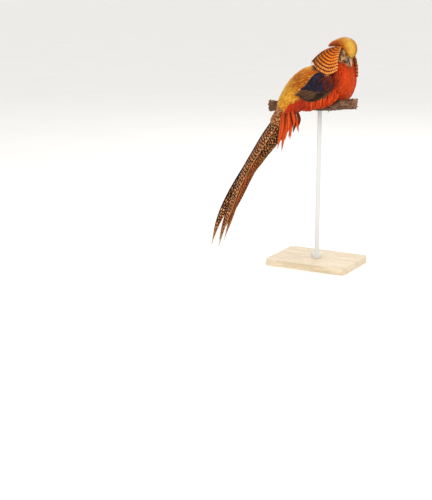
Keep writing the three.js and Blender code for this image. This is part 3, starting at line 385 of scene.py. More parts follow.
def tube(points):
    """Points, quads and cap triangles of a closed tube from rings of shape (rings, sides, 3)."""
    rings, sides = points.shape[:2]
    i, j = np.meshgrid(np.arange(rings - 1), np.arange(sides), indexing="ij")
    a = i * sides + j
    b = i * sides + (j + 1) % sides
    quads = np.stack([a, b, b + sides, a + sides], -1).reshape(-1, 4)
    fan = np.arange(1, sides - 1)
    last = (rings - 1) * sides
    start = np.stack([np.zeros_like(fan), fan + 1, fan], -1)
    end = np.stack([np.full_like(fan, last), last + fan, last + fan + 1], -1)
    return outwards(points.reshape(-1, 3), quads, np.vstack([start, end]))


def loft(surface, places, angles, lift):
    """A closed tube over places and angles of a surface."""
    return tube(surface(np.array(places)[:, None], np.array(angles)[None, :], lift))


def shell(surface, places, turns, top, foot):
    """A closed sheet that follows a surface between two lifts."""
    upper, lower = (surface(places[:, None], turns[None, :], lift) for lift in (top, foot))
    return tube(np.concatenate([upper, lower[:, ::-1]], axis=1))


def joined(parts):
    """Several point, quad and triangle sets as one."""
    points, quads, tris, first = [], [], [], 0
    for p, q, t in parts:
        points.append(p)
        quads.append(q + first)
        tris.append(t + first)
        first += len(p)
    return np.vstack(points), np.vstack(quads), np.vstack(tris)


# Feathers

# On the map each feather has a square of this size in its tract's part: left, low, width and height
PATCH = 0.003
SHEETS = {
    "trunk": (0.01, 0.01, 0.47, 0.6),
    "cape": (0.5, 0.01, 0.3, 0.3),
    "crest": (0.5, 0.33, 0.3, 0.3),
    "face": (0.82, 0.01, 0.16, 0.2),
    "wing": (0.01, 0.64, 0.3, 0.16),
    "thigh": (0.33, 0.64, 0.3, 0.16),
    "long": (0.01, 0.82, 0.6, 0.16),
}


def frame_on(surface, u, v, lift, roll):
    """Middle points, directions across and facing directions of vanes laid on a surface."""
    at = surface(u, v, lift)
    run = unit(np.gradient(at, axis=1))
    out = unit(surface(u, v, lift + 1) - at)
    side = unit(np.cross(run, out))
    out = np.cross(side, run)
    c, s = np.cos(roll)[:, None, None], np.sin(roll)[:, None, None]
    return at, side * c + out * s, out * c - side * s


def vanes(name, material, at, side, out, half, camber, plume, columns, sheet, uv, ring=None):
    """Closed thin vanes as one mesh. Arrays run over vanes and steps, plume is a function of t and across."""
    count, steps = at.shape[:2]
    across = np.linspace(-1, 1, columns)
    bow = 1 - across**2
    points = (
        at[:, :, None, :]
        + side[:, :, None, :] * (half[:, :, None] * across)[..., None]
        + out[:, :, None, :] * (camber[:, :, None] * bow)[..., None]
    )
    n, j, m = np.meshgrid(np.arange(count), np.arange(steps - 1), np.arange(columns - 1), indexing="ij")
    a = (n * steps + j) * columns + m
    top = np.stack([a, a + 1, a + columns + 1, a + columns], -1).reshape(-1, 4)
    n, j = np.meshgrid(np.arange(count), np.arange(steps - 1), indexing="ij")
    a = (n * steps + j) * columns
    under = np.stack([a, a + columns, a + 2 * columns - 1, a + columns - 1], -1).reshape(-1, 4)
    n, m = np.meshgrid(np.arange(count), np.arange(1, columns - 1), indexing="ij")
    a = n * steps * columns
    root = np.stack([a, a + m + 1, a + m], -1).reshape(-1, 3)
    b = a + (steps - 1) * columns
    tip = np.stack([b, b + m, b + m + 1], -1).reshape(-1, 3)
    soft_faces = np.zeros(len(top) + len(under) + len(root) + len(tip), dtype=bool)
    soft_faces[: len(top)] = True
    made = add_mesh(name, points, np.vstack([top, under]), np.vstack([root, tip]), material, soft_faces)
    t = np.broadcast_to(np.linspace(0, 1, steps)[None, :, None], (count, steps, columns))
    wide = np.broadcast_to(across, (count, steps, columns))
    length = np.linalg.norm(np.diff(at, axis=1), axis=-1).sum(axis=1)
    own = draw.uniform(0, 100, count)[:, None, None]
    set_values(made, "along", t)
    set_values(made, "across", wide)
    from_tip = (1 - t) * length[:, None, None]
    mm = np.stack([wide * half[:, :, None], from_tip, np.broadcast_to(own, t.shape)], -1)
    set_values(made, "vane_mm", mm, "FLOAT_VECTOR")
    set_tone(made, np.clip(np.broadcast_to(plume(t, wide), t.shape + (3,)), 0, 1))
    if ring is not None:
        set_values(made, "ring", ring[:, :, None] - 0.012 * wide**2)
    x, y, w, h = SHEETS[sheet]
    place = row(x, y) + np.clip(uv, 0, 1) * row(w, h)
    patch = place[:, None, None, :] + PATCH * np.stack([wide / 2, t - 0.5], -1)
    set_uv(made, patch)
    return made


def scatter(surface, u_from, u_to, v_from, v_to, row_mm, gap_mm):
    """Roots in staggered rows over part of a surface, about as far apart everywhere."""
    us = np.linspace(u_from, u_to, 60)
    vs = np.linspace(v_from, v_to, 73)
    grid = surface(us[:, None], vs[None, :], 0)
    step = np.linalg.norm(np.diff(grid, axis=0), axis=-1)
    longest = step.max(axis=1)
    walked = np.concatenate([[0], np.cumsum(longest)])
    share = np.vstack([step / longest[:, None], (step / longest[:, None])[-1:]])
    roots = []
    for n, far in enumerate(np.arange(row_mm / 2, walked[-1], row_mm)):
        u = np.interp(far, walked, us)
        ring = surface(u, vs, 0)
        arc = np.concatenate([[0], np.cumsum(np.linalg.norm(np.diff(ring, axis=0), axis=1))])
        count = max(int(arc[-1] / gap_mm), 1)
        s = (np.arange(count) + 0.25 + 0.5 * (n % 2) + draw.uniform(-0.22, 0.22, count)) / count * arc[-1]
        v = np.interp(s, arc, vs)
        i = int(np.clip(np.searchsorted(us, u) if us[0] < us[-1] else np.searchsorted(-us, -u), 0, 59))
        keep = draw.uniform(0, 1, count) < np.interp(v, vs, share[i])
        du = draw.uniform(-0.3, 0.3, count) * row_mm / walked[-1] * (u_to - u_from)
        roots.append(np.stack([u + du, v], -1)[keep])
    return np.vstack(roots)


def stretch(surface, u, v, e=0.004):
    """Millimetres for each unit of u and of v at points of a surface."""
    along_u = np.linalg.norm(surface(u + e, v, 0) - surface(u - e, v, 0), axis=-1) / (2 * e)
    k = 50 * e
    along_v = np.linalg.norm(surface(u, v + k, 0) - surface(u, v - k, 0), axis=-1) / (2 * k)
    return np.maximum(along_u, 1), np.maximum(along_v, 0.02)


def round_tip(t):
    return np.minimum(1, 0.45 + 1.8 * t) * np.sqrt(np.clip(1.02 - t**3.5, 0, 1))


def hair_tip(t):
    return np.minimum(1, 0.6 + 2 * t) * (1 - 0.85 * t**2)


def square_tip(t):
    return np.minimum(1, 0.5 + 1.7 * t) * (1 - 0.3 * t**14)


# The share of a feather's length that lies before its place
ROOT_SHARE = 0.25


def coat(name, material, surface, roots, length, wide, plume, sign=-1, steps=4, columns=3, tip=round_tip,
         sunk=-2.2, lift=0.6, sheet="trunk", spread=0.12, camber=0.22, roll=0.0, fray=0.12, ring=False):
    """A coat of feathers on a surface. Length, wide and lift may be arrays over the roots."""
    u, v = roots[:, 0], roots[:, 1]
    count = len(roots)
    mm_u, mm_v = stretch(surface, u, v)
    mm_u = np.maximum(mm_u, 0.7 * np.median(mm_u))
    length = np.broadcast_to(length, count) * draw.uniform(0.86, 1.14, count)
    wide = np.broadcast_to(wide, count) * draw.uniform(0.88, 1.12, count)
    t = np.linspace(0, 1, steps)[None, :]
    turn = draw.normal(0, spread, count)
    run_u = sign * length / mm_u * np.cos(turn)
    run_v = length / mm_v * np.sin(turn)
    path_u = u[:, None] + run_u[:, None] * (t - ROOT_SHARE)
    path_v = v[:, None] + run_v[:, None] * (t - ROOT_SHARE)
    top = np.broadcast_to(lift, count) + draw.uniform(-0.35, 0.35, count)
    height = sunk + (top[:, None] - sunk) * t**0.8
    at, side, out = frame_on(surface, path_u, path_v, height, roll + draw.normal(0, fray, count))
    half = 0.5 * wide[:, None] * tip(t)

    def tone(s, a):
        return plume(u[:, None, None], v[:, None, None], s, draw.normal(0, 1, (count, 1, 1)))

    uv = np.stack([(v - v.min()) / max(np.ptp(v), 1e-6), (u - u.min()) / max(np.ptp(u), 1e-6)], -1)
    ring_at = path_u if ring else None
    return vanes(name, material, at, side, out, half, camber * half, tone, columns, sheet, uv, ring_at)


# Materials


def put(tree, socket, value):
    """Links a socket to another one or gives it a value."""
    if isinstance(value, bpy.types.NodeSocket):
        tree.links.new(value, socket)
    elif isinstance(value, (tuple, list, np.ndarray)):
        value = [float(part) for part in value]
        socket.default_value = value + [1.0] * (len(socket.default_value) - len(value))
    else:
        socket.default_value = value


def add_node(tree, kind, inputs=(), **settings):
    made = tree.nodes.new(kind)
    for key, value in settings.items():
        setattr(made, key, value)
    for key, value in dict(inputs).items():
        put(tree, made.inputs[key], value)
    return made


class Board:
    """The node tree of one material, built a node at a time."""

    def __init__(self, name, rough=0.6, **settings):
        self.material = bpy.data.materials.new(name)
        self.material.use_nodes = True
        self.tree = self.material.node_tree
        self.shader = self.tree.nodes["Principled BSDF"]
        self.shader.inputs["Roughness"].default_value = rough
        for key, value in settings.items():
            self.shader.inputs[key.replace("_", " ")].default_value = value

    def node(self, kind, inputs=(), **settings):
        return add_node(self.tree, kind, inputs, **settings)

    def put(self, socket, value):
        put(self.tree, socket, value)

    def attribute(self, name, output="Fac"):
        return self.node("ShaderNodeAttribute", attribute_name=name).outputs[output]

    def math(self, operation, first, second=0.0, third=0.0):
        return self.node("ShaderNodeMath", {0: first, 1: second, 2: third}, operation=operation).outputs[0]

    def step(self, value, low, high, bottom=0.0, top=1.0):
        inputs = {"Value": value, "From Min": low, "From Max": high, "To Min": bottom, "To Max": top}
        return self.node("ShaderNodeMapRange", inputs, interpolation_type="SMOOTHSTEP").outputs["Result"]

    def split(self, vector):
        return self.node("ShaderNodeSeparateXYZ", {0: vector}).outputs

    def join(self, x=0.0, y=0.0, z=0.0):
        return self.node("ShaderNodeCombineXYZ", {0: x, 1: y, 2: z}).outputs[0]

    def place(self):
        return self.node("ShaderNodeTexCoord").outputs["Object"]

    def stretched(self, x, y, z):
        """Places on the piece with each direction scaled on its own."""
        return self.node("ShaderNodeMapping", {"Vector": self.place(), "Scale": (x, y, z)}).outputs[0]

    def noise(self, vector, scale, detail=2.0, rough=0.5, output="Fac"):
        inputs = {"Vector": vector, "Scale": scale, "Detail": detail, "Roughness": rough}
        return self.node("ShaderNodeTexNoise", inputs).outputs[output]

    def mix(self, share, first, second, blend="MIX"):
        made = self.node("ShaderNodeMix", data_type="RGBA", blend_type=blend)
        self.put(made.inputs["Factor"], share)
        self.put(made.inputs[6], first)
        self.put(made.inputs[7], second)
        return made.outputs[2]

    def shade(self, tone, value):
        """The tone times a grey value."""
        return self.mix(1.0, tone, self.join(value, value, value), "MULTIPLY")

    def bump(self, height, distance, strength=1.0):
        made = self.node("ShaderNodeBump", {"Height": height, "Distance": distance, "Strength": strength})
        self.put(self.shader.inputs["Normal"], made.outputs[0])

    def finish(self, tone, rough=None):
        self.put(self.shader.inputs["Base Color"], tone)
        if rough is not None:
            self.put(self.shader.inputs["Roughness"], rough)
        return self.material


def vane_board(name, rough=0.55, barb_mm=0.55, root_shade=0.5, contrast=0.3, shaft=0.85, **settings):
    """A feather's board and its tone, with barbs, a shaft and a root darkened as painted shade where the
    feathers overlap. The board keeps how far each point lies across the vane and from its tip."""
    board = Board(name, rough, Specular_IOR_Level=0.12, **settings)
    board.wide, board.from_tip, board.own = board.split(board.attribute("vane_mm", "Vector"))
    slope = board.math("MULTIPLY_ADD", board.math("ABSOLUTE", board.wide), 0.9, board.from_tip)
    barbs = board.noise(board.join(board.math("DIVIDE", slope, barb_mm), board.own, 0.0), 1.0, 2.0, 0.6)
    board.across = board.math("ABSOLUTE", board.attribute("across"))
    tone = board.attribute("plume", "Color")
    tone = board.shade(tone, board.step(barbs, 0.25, 0.75, 1 - contrast, 1 + contrast))
    # The root is darkened as painted shade, where the feathers lie over each other
    tone = board.shade(tone, board.step(board.attribute("along"), 0.1, 0.65, root_shade, 1.0))
    tone = board.shade(tone, board.step(board.across, 0.05, 0.16, shaft, 1.0))
    board.bump(barbs, 0.00025, 0.7)
    return board, tone


def plain_vane(name, **settings):
    board, tone = vane_board(name, **settings)
    return board.finish(tone)


SCARLET = colour(206, 58, 14)
BREAST = colour(214, 70, 16)
DEEP_RED = colour(120, 22, 14)
MAROON = colour(92, 32, 14)
GOLD = colour(240, 166, 32)
PALE_GOLD = colour(250, 204, 88)
AMBER = colour(192, 96, 14)
ORANGE = colour(232, 112, 30)
CREST_GOLD = colour(222, 134, 14)
CREST_DEEP = colour(202, 100, 10)
CREST_RUST = colour(176, 74, 22)
MANTLE_GREEN = colour(46, 48, 22)
BUFF = colour(240, 190, 130)
FACE_BROWN = colour(120, 58, 34)
FACE_DARK = colour(50, 26, 18)
FACE_PALE = colour(255, 214, 184)
NAVY = colour(26, 18, 26)
BLUE_EDGE = colour(36, 34, 70)
FLIGHT_BROWN = colour(42, 24, 14)
FLIGHT_BUFF = colour(160, 112, 70)
BAR_MAROON = colour(78, 14, 6)
CAPE_ORANGE = colour(236, 124, 26)
CAPE_PEACH = colour(240, 162, 88)
TAIL_BLACK = colour(24, 12, 8)
TAIL_BUFF = colour(224, 158, 100)
TAIL_CINNAMON = colour(198, 104, 42)
TAIL_BAR = colour(74, 36, 20)
COVERT_RED = colour(220, 78, 20)

GOLD_PLANE = (row(-0.72, 0, 0.69), 58)
GOLD_ON_BACK = 17


def gold_depth(point, place):
    """How far a point lies inside the gold of the rump and back, which reaches lower beside the wing."""
    return point @ GOLD_PLANE[0] - GOLD_PLANE[1] + GOLD_ON_BACK * smooth(place, 0.26, 0.4)


FACE_REACH = 40


def head_frame(point):
    """A point's distances forward, to the right and up from the head's middle."""
    off = (point - HEAD_AT) @ np.stack([HEAD_FORWARD, HEAD_RIGHT, HEAD_UP], -1)
    return np.moveaxis(off, -1, 0)


def near_line(f, u, start, end, wide):
    """1 on the line between two places of the head's side, 0 beyond its width."""
    start, end = row(*start), row(*end)
    off = np.stack([f, u], -1) - start
    share = np.clip(off @ (end - start) / ((end - start) @ (end - start)), 0, 1)
    return np.exp(-(((off - share[..., None] * (end - start)) ** 2).sum(-1)) / wide**2)


def skull_tone(point):
    """Buff cheeks with a pale line and a dark patch at the gape, under a gold crown."""
    f, r, u = head_frame(point)
    side = smooth(np.abs(r), 2, 5)
    tone = mix(BUFF, FACE_BROWN, 0.5 * smooth(-u, 9, 15))
    tone = mix(tone, FACE_BROWN, 0.85 * near_line(f, u, (-6, -1), (1, 8), 3.2))
    tone = mix(tone, FACE_DARK, 0.9 * near_line(f, u, (20, -8.5), (27, -9.5), 3.2) * side)
    tone = mix(tone, FACE_DARK, 0.8 * near_line(f, u, (9, 6), (16, 3), 2.2))
    tone = mix(tone, FACE_PALE, 0.9 * near_line(f, u, (11, 0), (22, -5.5), 1.8) * side)
    return mix(tone, GOLD, smooth(u, 8, 11))


def trunk_tone(place, angle):
    """The markings of the trunk by place from tail to neck and by angle from the back line, with painted
    shade and highlight.
    """
    place, angle = np.broadcast_arrays(np.asarray(place, dtype=float), angle)
    point = trunk(place, angle, 0)
    turn = np.abs(angle)
    gold = smooth(gold_depth(point, place), -4, 5)
    front = smooth(point[..., 0], 20, 62)
    tone = mix(SCARLET, BREAST, front * smooth(turn, 60, 130))
    # Deep red on the underside and on the breast's sides is painted shade
    low = smooth(-point[..., 2], -52, -14)
    breast_shade = 0.4 * smooth(-np.abs(point[..., 0] - 62), -26, -6)
    tone = mix(tone, DEEP_RED, breast_shade * smooth(-turn, -150, -110) * smooth(turn, 84, 104))
    tone = mix(tone, DEEP_RED, 0.25 * low * smooth(turn, 95, 150) * (1 - 0.5 * front))
    shoulder = 0.9 * smooth(place, 0.6, 0.63) * (1 - smooth(place, 0.66, 0.84))
    tone = mix(tone, MAROON, shoulder * (1 - smooth(turn, 94, 128)))
    rump = mix(GOLD, ORANGE, 0.75 * smooth(-place, -0.24, -0.1) * smooth(turn, 20, 60))
    # Pale gold along the top of the rump is a painted highlight, and amber on its sides towards the wing is
    # painted shade
    rump = mix(rump, PALE_GOLD, 0.55 * (1 - smooth(turn, 40, 90)) * (1 - smooth(place, 0.33, 0.44)))
    rump = mix(rump, AMBER, smooth(turn, 18, 52) * smooth(place, 0.3, 0.44))
    tone = mix(tone, rump, gold)
    green = smooth(place, 0.475 + 0.0009 * turn, 0.5 + 0.0009 * turn)
    green = green * (1 - smooth(turn, 46, 58)) * (1 - smooth(place, 0.68, 0.74))
    tone = mix(tone, MANTLE_GREEN, green)
    f, r, _ = head_frame(point)
    inside = FACE_REACH - 0.85 * np.abs(r) - f
    face = smooth(inside, -1.5, 1.5) * smooth(place, 0.86, 0.9) * smooth(f, -6, 2)
    return mix(tone, skull_tone(point), face)


def speckle(tone, chance, spread=0.12):
    """Each feather a little lighter or darker than its tract."""
    return tone * (1 + spread * np.clip(chance, -2, 2))[..., None]


def light_tip(tone, t, gain=1.25):
    """A tone that grows lighter towards a feather's tip."""
    return mix(tone, tone * gain, 0.5 * smooth(t, 0.4, 1.0))


def trunk_plume(u, v, t, chance):
    return light_tip(speckle(trunk_tone(u, v), chance, 0.1), t)


def rump_plume(u, v, t, chance):
    """The rump's strands, some pale and some amber."""
    tone = trunk_tone(u, v)
    tone = mix(tone, PALE_GOLD * 1.1, 0.65 * smooth(chance, 0.2, 1.1) * (1 - 0.6 * smooth(u, 0.36, 0.46)))
    tone = mix(tone, AMBER * 0.62, 0.6 * smooth(-chance, 0.3, 1.2))
    return light_tip(tone, t, 1.2)


def hand_over(made, slot, *nodes):
    """Puts a piece on the bird's body, in place of the solids it covers. The slot it is given is not used."""
    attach(made, "root")
    if nodes:
        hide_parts(*nodes)


# Skin under the feathers

SKIN_DEPTH = -2.4
SKIN_VOXEL_METRES = 0.0028
SIDES = ((1, "left"), (-1, "right"))
round_about = np.arange(0, 360, 10)
skin_parts = [
    loft(trunk, np.linspace(0.02, 1.12, 44), round_about, SKIN_DEPTH),
    loft(skull, np.linspace(0, 1, 24), round_about, -0.8),
    *(loft(thigh(side), np.linspace(0, 1, 14), round_about, SKIN_DEPTH) for side in (1, -1)),
]
skin_board = Board("skin_under_feathers", 0.8)
skin_grain = skin_board.noise(skin_board.place(), 420.0, 3.0)
# The skin takes the coat's colours darkened to between half and nine tenths, painted shade under the
# feathers, mottled by its grain
skin_shade = skin_board.step(skin_grain, 0.2, 0.8, 0.5, 0.9)
skin_tone = skin_board.shade(skin_board.attribute("plume", "Color"), skin_shade)
skin_board.bump(skin_grain, 0.0006)
skin_finish = skin_board.finish(skin_tone)
skin = add_mesh("skin", *joined(skin_parts), skin_finish)
melt = skin.modifiers.new("melt", "REMESH")
melt.mode = "VOXEL"
melt.voxel_size = SKIN_VOXEL_METRES
melt.use_smooth_shade = True


def settle(made):
    """Puts what a piece's modifiers make into its mesh."""
    mesh = bpy.data.meshes.new_from_object(made.evaluated_get(bpy.context.evaluated_depsgraph_get()))
    made.modifiers.clear()
    made.data = mesh


settle(skin)


def tone_at(points):
    """The markings, painted shade and highlight at any points of the skin, from the nearest place of the
    surface they belong to.
    """
    places, turns = np.meshgrid(np.linspace(0.02, 1.12, 90), np.arange(-180, 180, 6), indexing="ij")
    spots = trunk(places, turns, 0).reshape(-1, 3)
    tones = trunk_tone(places, turns).reshape(-1, 3)
    tree = KDTree(len(spots))
    for i, spot in enumerate(spots):
        tree.insert(spot, i)
    tree.balance()
    near = np.array([tree.find(point)[1] for point in points])
    tone = tones[near]
    head = smooth(-np.linalg.norm(points - on_head(0, 0, 0), axis=-1), -24, -18)
    return mix(tone, skull_tone(points), head)


set_tone(skin, tone_at(points_of(skin)))
hand_over(skin, "plumage_scarlet", "torso", "neck", "head", "thigh_left", "thigh_right")

# Coats of the trunk

soft_vane = plain_vane("body_feather", rough=0.6, barb_mm=0.6, root_shade=0.76, contrast=0.18)
silky_vane = plain_vane("rump_hair", rough=0.42, barb_mm=0.4, root_shade=0.6, contrast=0.25)
green_vane = plain_vane("mantle_feather", rough=0.35, barb_mm=0.7, root_shade=0.5, contrast=0.3)


def under_wing(u, v):
    t = (WING_FRONT - u) / (WING_FRONT - WING_TIP)
    middle, half, _ = np.moveaxis(along(WING, t / WING_END), -1, 0)
    return (t > 0.12) & (t < 1.0) & (np.abs(np.abs(v) - middle) < 0.75 * half)


def under_cape(points):
    off = points - CAPE_AT
    angle = (180 + CAPE_YAW - np.degrees(np.arctan2(off[:, 1], off[:, 0])) + 180) % 360 - 180
    share = np.clip(np.abs(angle) / CAPE_OPEN, 0, 1)
    reach, _ = np.moveaxis(along(CAPE_RIM, share), -1, 0)
    far = np.hypot(off[:, 0], off[:, 1])
    t = (far - CAPE_NECK_RADIUS) / (reach - CAPE_NECK_RADIUS)
    return (np.abs(angle) < CAPE_OPEN - 6) & (t < 0.86) & (points[:, 2] > 60)


body_roots = scatter(trunk, 0.12, 1.06, -180, 180, row_mm=4.3, gap_mm=2.7)
points = trunk(body_roots[:, 0], body_roots[:, 1], 0)
hidden = under_wing(*body_roots.T) | under_cape(points)
gold_here = gold_depth(points, body_roots[:, 0]) > -3
green_here = (body_roots[:, 0] > 0.48) & (body_roots[:, 0] < 0.76) & (np.abs(body_roots[:, 1]) < 56)
scarlet_roots = body_roots[~hidden & ~gold_here & ~green_here]
size = 0.35 + 0.65 * (1 - smooth(scarlet_roots[:, 0], 0.84, 0.98))
scarlet_coat = coat("scarlet_coat", soft_vane, trunk, scarlet_roots, length=16 * size, wide=5 * size,
                    plume=trunk_plume)
hand_over(scarlet_coat, "plumage_scarlet", "vent")
gold_roots = body_roots[~hidden & gold_here & ~green_here]
gold_coat = coat("gold_coat", silky_vane, trunk, gold_roots, length=19, wide=5.2, plume=rump_plume,
                 tip=hair_tip)
hand_over(gold_coat, "plumage_gold", "back")
green_roots = body_roots[~hidden & green_here]
green_coat = coat("mantle_coat", green_vane, trunk, green_roots, length=15, wide=9, plume=trunk_plume,
                  tip=square_tip)
hand_over(green_coat, "mantle", "mantle")
hair_roots = scatter(trunk, 0.15, 0.46, -78, 78, row_mm=3.4, gap_mm=1.9)
hair_coat = coat("rump_hair", silky_vane, trunk, hair_roots, length=25, wide=1.7, plume=rump_plume,
                 tip=hair_tip, steps=5, lift=1.8, spread=0.1)
hand_over(hair_coat, "plumage_gold", "rump")


def thigh_plume(u, v, t, chance):
    tone = mix(SCARLET, DEEP_RED, 0.25 + 0.25 * u)
    tone = mix(tone, ORANGE, 0.3 * smooth(chance, 0.0, 1.4))
    return light_tip(speckle(tone, chance), t)


for side, name in SIDES:
    surface = thigh(side)
    roots = scatter(surface, 0.02, 0.98, 0, 360, row_mm=4.6, gap_mm=3.2)
    size = 1 - 0.35 * roots[:, 0]
    thigh_coat = coat(f"thigh_coat_{name}", soft_vane, surface, roots, length=15 * size, wide=5.5 * size,
                      plume=thigh_plume, sign=1, sheet="thigh")
    hand_over(thigh_coat, "plumage_scarlet")

# Belly feathers over the branch

BRANCH_POINTS = row([-184, 69, -16], [-120, 62, -12], [-52, 36, -5], [0, 0, 0], [48, -28, 6], [117, -36, 17])
FRINGE = 150
FRINGE_HALF = 2.7
FRINGE_OFF_BRANCH = 15.5
fringe_root = trunk(draw.uniform(0.47, 0.68, FRINGE), -draw.uniform(108, 140, FRINGE), -1.5)
fringe_x = fringe_root[:, 0] - draw.uniform(3, 11, FRINGE)
branch_y = np.interp(fringe_x, BRANCH_POINTS[2:, 0], BRANCH_POINTS[2:, 1])
fringe_y = np.minimum(fringe_root[:, 1], branch_y - FRINGE_OFF_BRANCH) - draw.uniform(1, 4, FRINGE)
fringe_z = np.interp(fringe_x, [4, 32, 58, 75], [-5, 1, 14, 30]) + draw.uniform(-3, 4, FRINGE)
fringe_tip = np.stack([fringe_x, fringe_y, np.minimum(fringe_z, fringe_root[:, 2] - 6)], -1)
t = np.linspace(0, 1, 7)[None, :, None]
bow = row(0, -5, 1) * (4 * t * (1 - t)) * draw.uniform(0.5, 1.2, (FRINGE, 1, 1))
fringe_line = fringe_root[:, None] * (1 - t) + fringe_tip[:, None] * t + bow
fringe_run = unit(np.gradient(fringe_line, axis=1))
facing = row(0.15, -1, 0.1) + draw.normal(0, 0.12, (FRINGE, 1, 3))
fringe_out = unit(facing - fringe_run * np.sum(facing * fringe_run, axis=-1, keepdims=True))
t = t[..., 0]
fringe_half = FRINGE_HALF * np.minimum(1, 0.5 + 1.5 * t) * np.clip(1.02 - t**3, 0.02, 1)
fringe_half = np.repeat(fringe_half, FRINGE, axis=0)
fringe_chance = draw.normal(0, 1, (FRINGE, 1, 1))
fringe_orange = 0.25 * smooth(fringe_chance, 0.1, 1.3)
fringe_tone = speckle(mix(mix(SCARLET, BREAST, 0.4), ORANGE, fringe_orange), fringe_chance)
fringe_uv = np.stack([np.linspace(0, 1, FRINGE), np.full(FRINGE, 0.98)], -1)
fringe = vanes("belly_fringe", soft_vane, fringe_line, np.cross(fringe_run, fringe_out), fringe_out,
               fringe_half, 0.2 * fringe_half, lambda s, a: fringe_tone, 3, "thigh", fringe_uv)
hand_over(fringe, "plumage_scarlet")

# Face


def skull_plume(u, v, t, chance):
    return speckle(skull_tone(skull(u, v, 0)), chance, 0.09)


EYE_CLEAR = 6.6
face_roots = scatter(skull, 0.97, 0.1, -180, 180, row_mm=1.9, gap_mm=1.5)
face_points = skull(face_roots[:, 0], face_roots[:, 1], 0)
eye_points = [on_head(EYE_AT["f"], -side * EYE_AT["r"], EYE_AT["u"]) for side in (1, -1)]
clear_of_eyes = np.all([np.linalg.norm(face_points - eye, axis=-1) > EYE_CLEAR for eye in eye_points], axis=0)
face_roots = face_roots[clear_of_eyes]
face_size = 0.6 + 0.4 * smooth(-face_roots[:, 0], -0.9, -0.4)
face_vane = plain_vane("face_feather", rough=0.7, barb_mm=0.4, root_shade=0.6, contrast=0.2)
face_coat = coat("face_coat", face_vane, skull, face_roots, length=5.2 * face_size, wide=1.8 * face_size,
                 plume=skull_plume, sunk=-0.8, lift=0.25, tip=hair_tip, sheet="face")
hand_over(face_coat, "face")

# Crest

# The crest's painted highlight, where its palest strands lie, runs this many degrees off its ridge
CREST_HIGHLIGHT = 9


def crest_plume(u, v, t, chance):
    turn = np.abs(v)
    # Pale gold a little off the ridge is a painted highlight, and the deeper sides are painted shade
    pale = np.abs(v + CREST_HIGHLIGHT)
    tone = mix(PALE_GOLD, CREST_GOLD, 0.15 + 0.85 * smooth(pale, 6, 58))
    tone = mix(tone, CREST_DEEP, 0.85 * smooth(turn, 48, 100))
    place = u + 0.45 * t
    tone = mix(tone, CREST_DEEP, 0.55 * smooth(place, 0.5, 0.8))
    tone = mix(tone, CREST_RUST, 0.65 * smooth(-place, -0.2, -0.04))
    tone = mix(tone, CREST_RUST, 0.6 * smooth(turn, 62, 100) * smooth(place, 0.2, 0.5))
    tone = mix(tone, CREST_RUST, 0.5 * smooth(chance, 0.9, 1.4) * smooth(place, 0.25, 0.6))
    tone = mix(tone, PALE_GOLD, 0.45 * smooth(-chance, 0.8, 1.4) * (1 - smooth(turn, 60, 90)))
    return speckle(tone, chance, 0.1)


crest_vane = plain_vane("crest_hair", rough=0.34, barb_mm=1.4, root_shade=0.75, contrast=0.2, shaft=1.0)
core_places = np.linspace(0, 0.9, 30)
core_turns = np.arange(0, 360, 15)
# The core takes the skin's finish, so the crest's colours are darkened on it as painted shade under the
# strands
crest_core = add_mesh("crest_core", *loft(crest, core_places, core_turns, -2.0), skin_finish)
core_v, core_u = np.meshgrid(core_turns, core_places)
none = np.zeros_like(core_u)
set_tone(crest_core, crest_plume(core_u, (core_v + 180) % 360 - 180, none, none))
hand_over(crest_core, "crest", "crest")
crest_roots = scatter(crest, 0.01, 0.8, -180, 180, row_mm=4, gap_mm=1.8)
crest_side = np.interp(crest_roots[:, 0], [0.0, 0.09, 0.16, 0.22, 0.3, 0.34], [106, 106, 98, 86, 82, 181])
crest_roots = crest_roots[np.abs(crest_roots[:, 1]) < crest_side]
reach = np.minimum(46, (1.03 - crest_roots[:, 0]) * 135)
crest_lift = draw.uniform(-0.4, 1.6, len(crest_roots))
crest_coat = coat("crest_coat", crest_vane, crest, crest_roots, length=reach, wide=1.5, plume=crest_plume,
                  sign=1, steps=7, tip=hair_tip, sunk=-2, lift=crest_lift, spread=0.05, sheet="crest")
hand_over(crest_coat, "crest")

# Cape

CAPE_TIERS = 10
TIER_GAP = 7
board, tone = vane_board("cape_feather", rough=0.5, barb_mm=0.8, root_shade=0.8, contrast=0.16)
wave = board.math("MULTIPLY_ADD", board.noise(board.join(board.wide, board.own, 0.0), 0.8), 0.16, -0.08)
turn = board.math("MULTIPLY_ADD", board.attribute("ring"), float(CAPE_TIERS), wave)
turn = board.math("FRACT", board.math("ADD", turn, 0.02))
bar = board.math("SUBTRACT", board.step(turn, 0.5, 0.57), board.step(turn, 0.87, 0.93))
tone = board.mix(board.math("MULTIPLY", bar, 0.96), tone, BAR_MAROON)
cape_vane = board.finish(tone)
# The sheet under the cape's feathers is a darker copy of their orange, painted shade between them
cape_board = Board("cape_under", 0.7)
cape_rows = cape_board.noise(cape_board.place(), 300.0, 2.0)
cape_under = cape_board.finish(cape_board.mix(cape_rows, CAPE_ORANGE * 0.35, CAPE_ORANGE * 0.6))


def cape_plume(u, v, t, chance):
    tone = mix(CAPE_ORANGE, CAPE_PEACH, 0.75 * smooth(u, 0.35, 0.8) * (0.6 + 0.4 * smooth(chance, -1, 1)))
    tone = mix(tone, CREST_RUST, 0.4 * smooth(-u, -0.45, -0.1))
    tone = mix(tone, CAPE_PEACH * 1.1, 0.35 * smooth(np.abs(v), 92, 98))
    return speckle(tone, chance, 0.08)


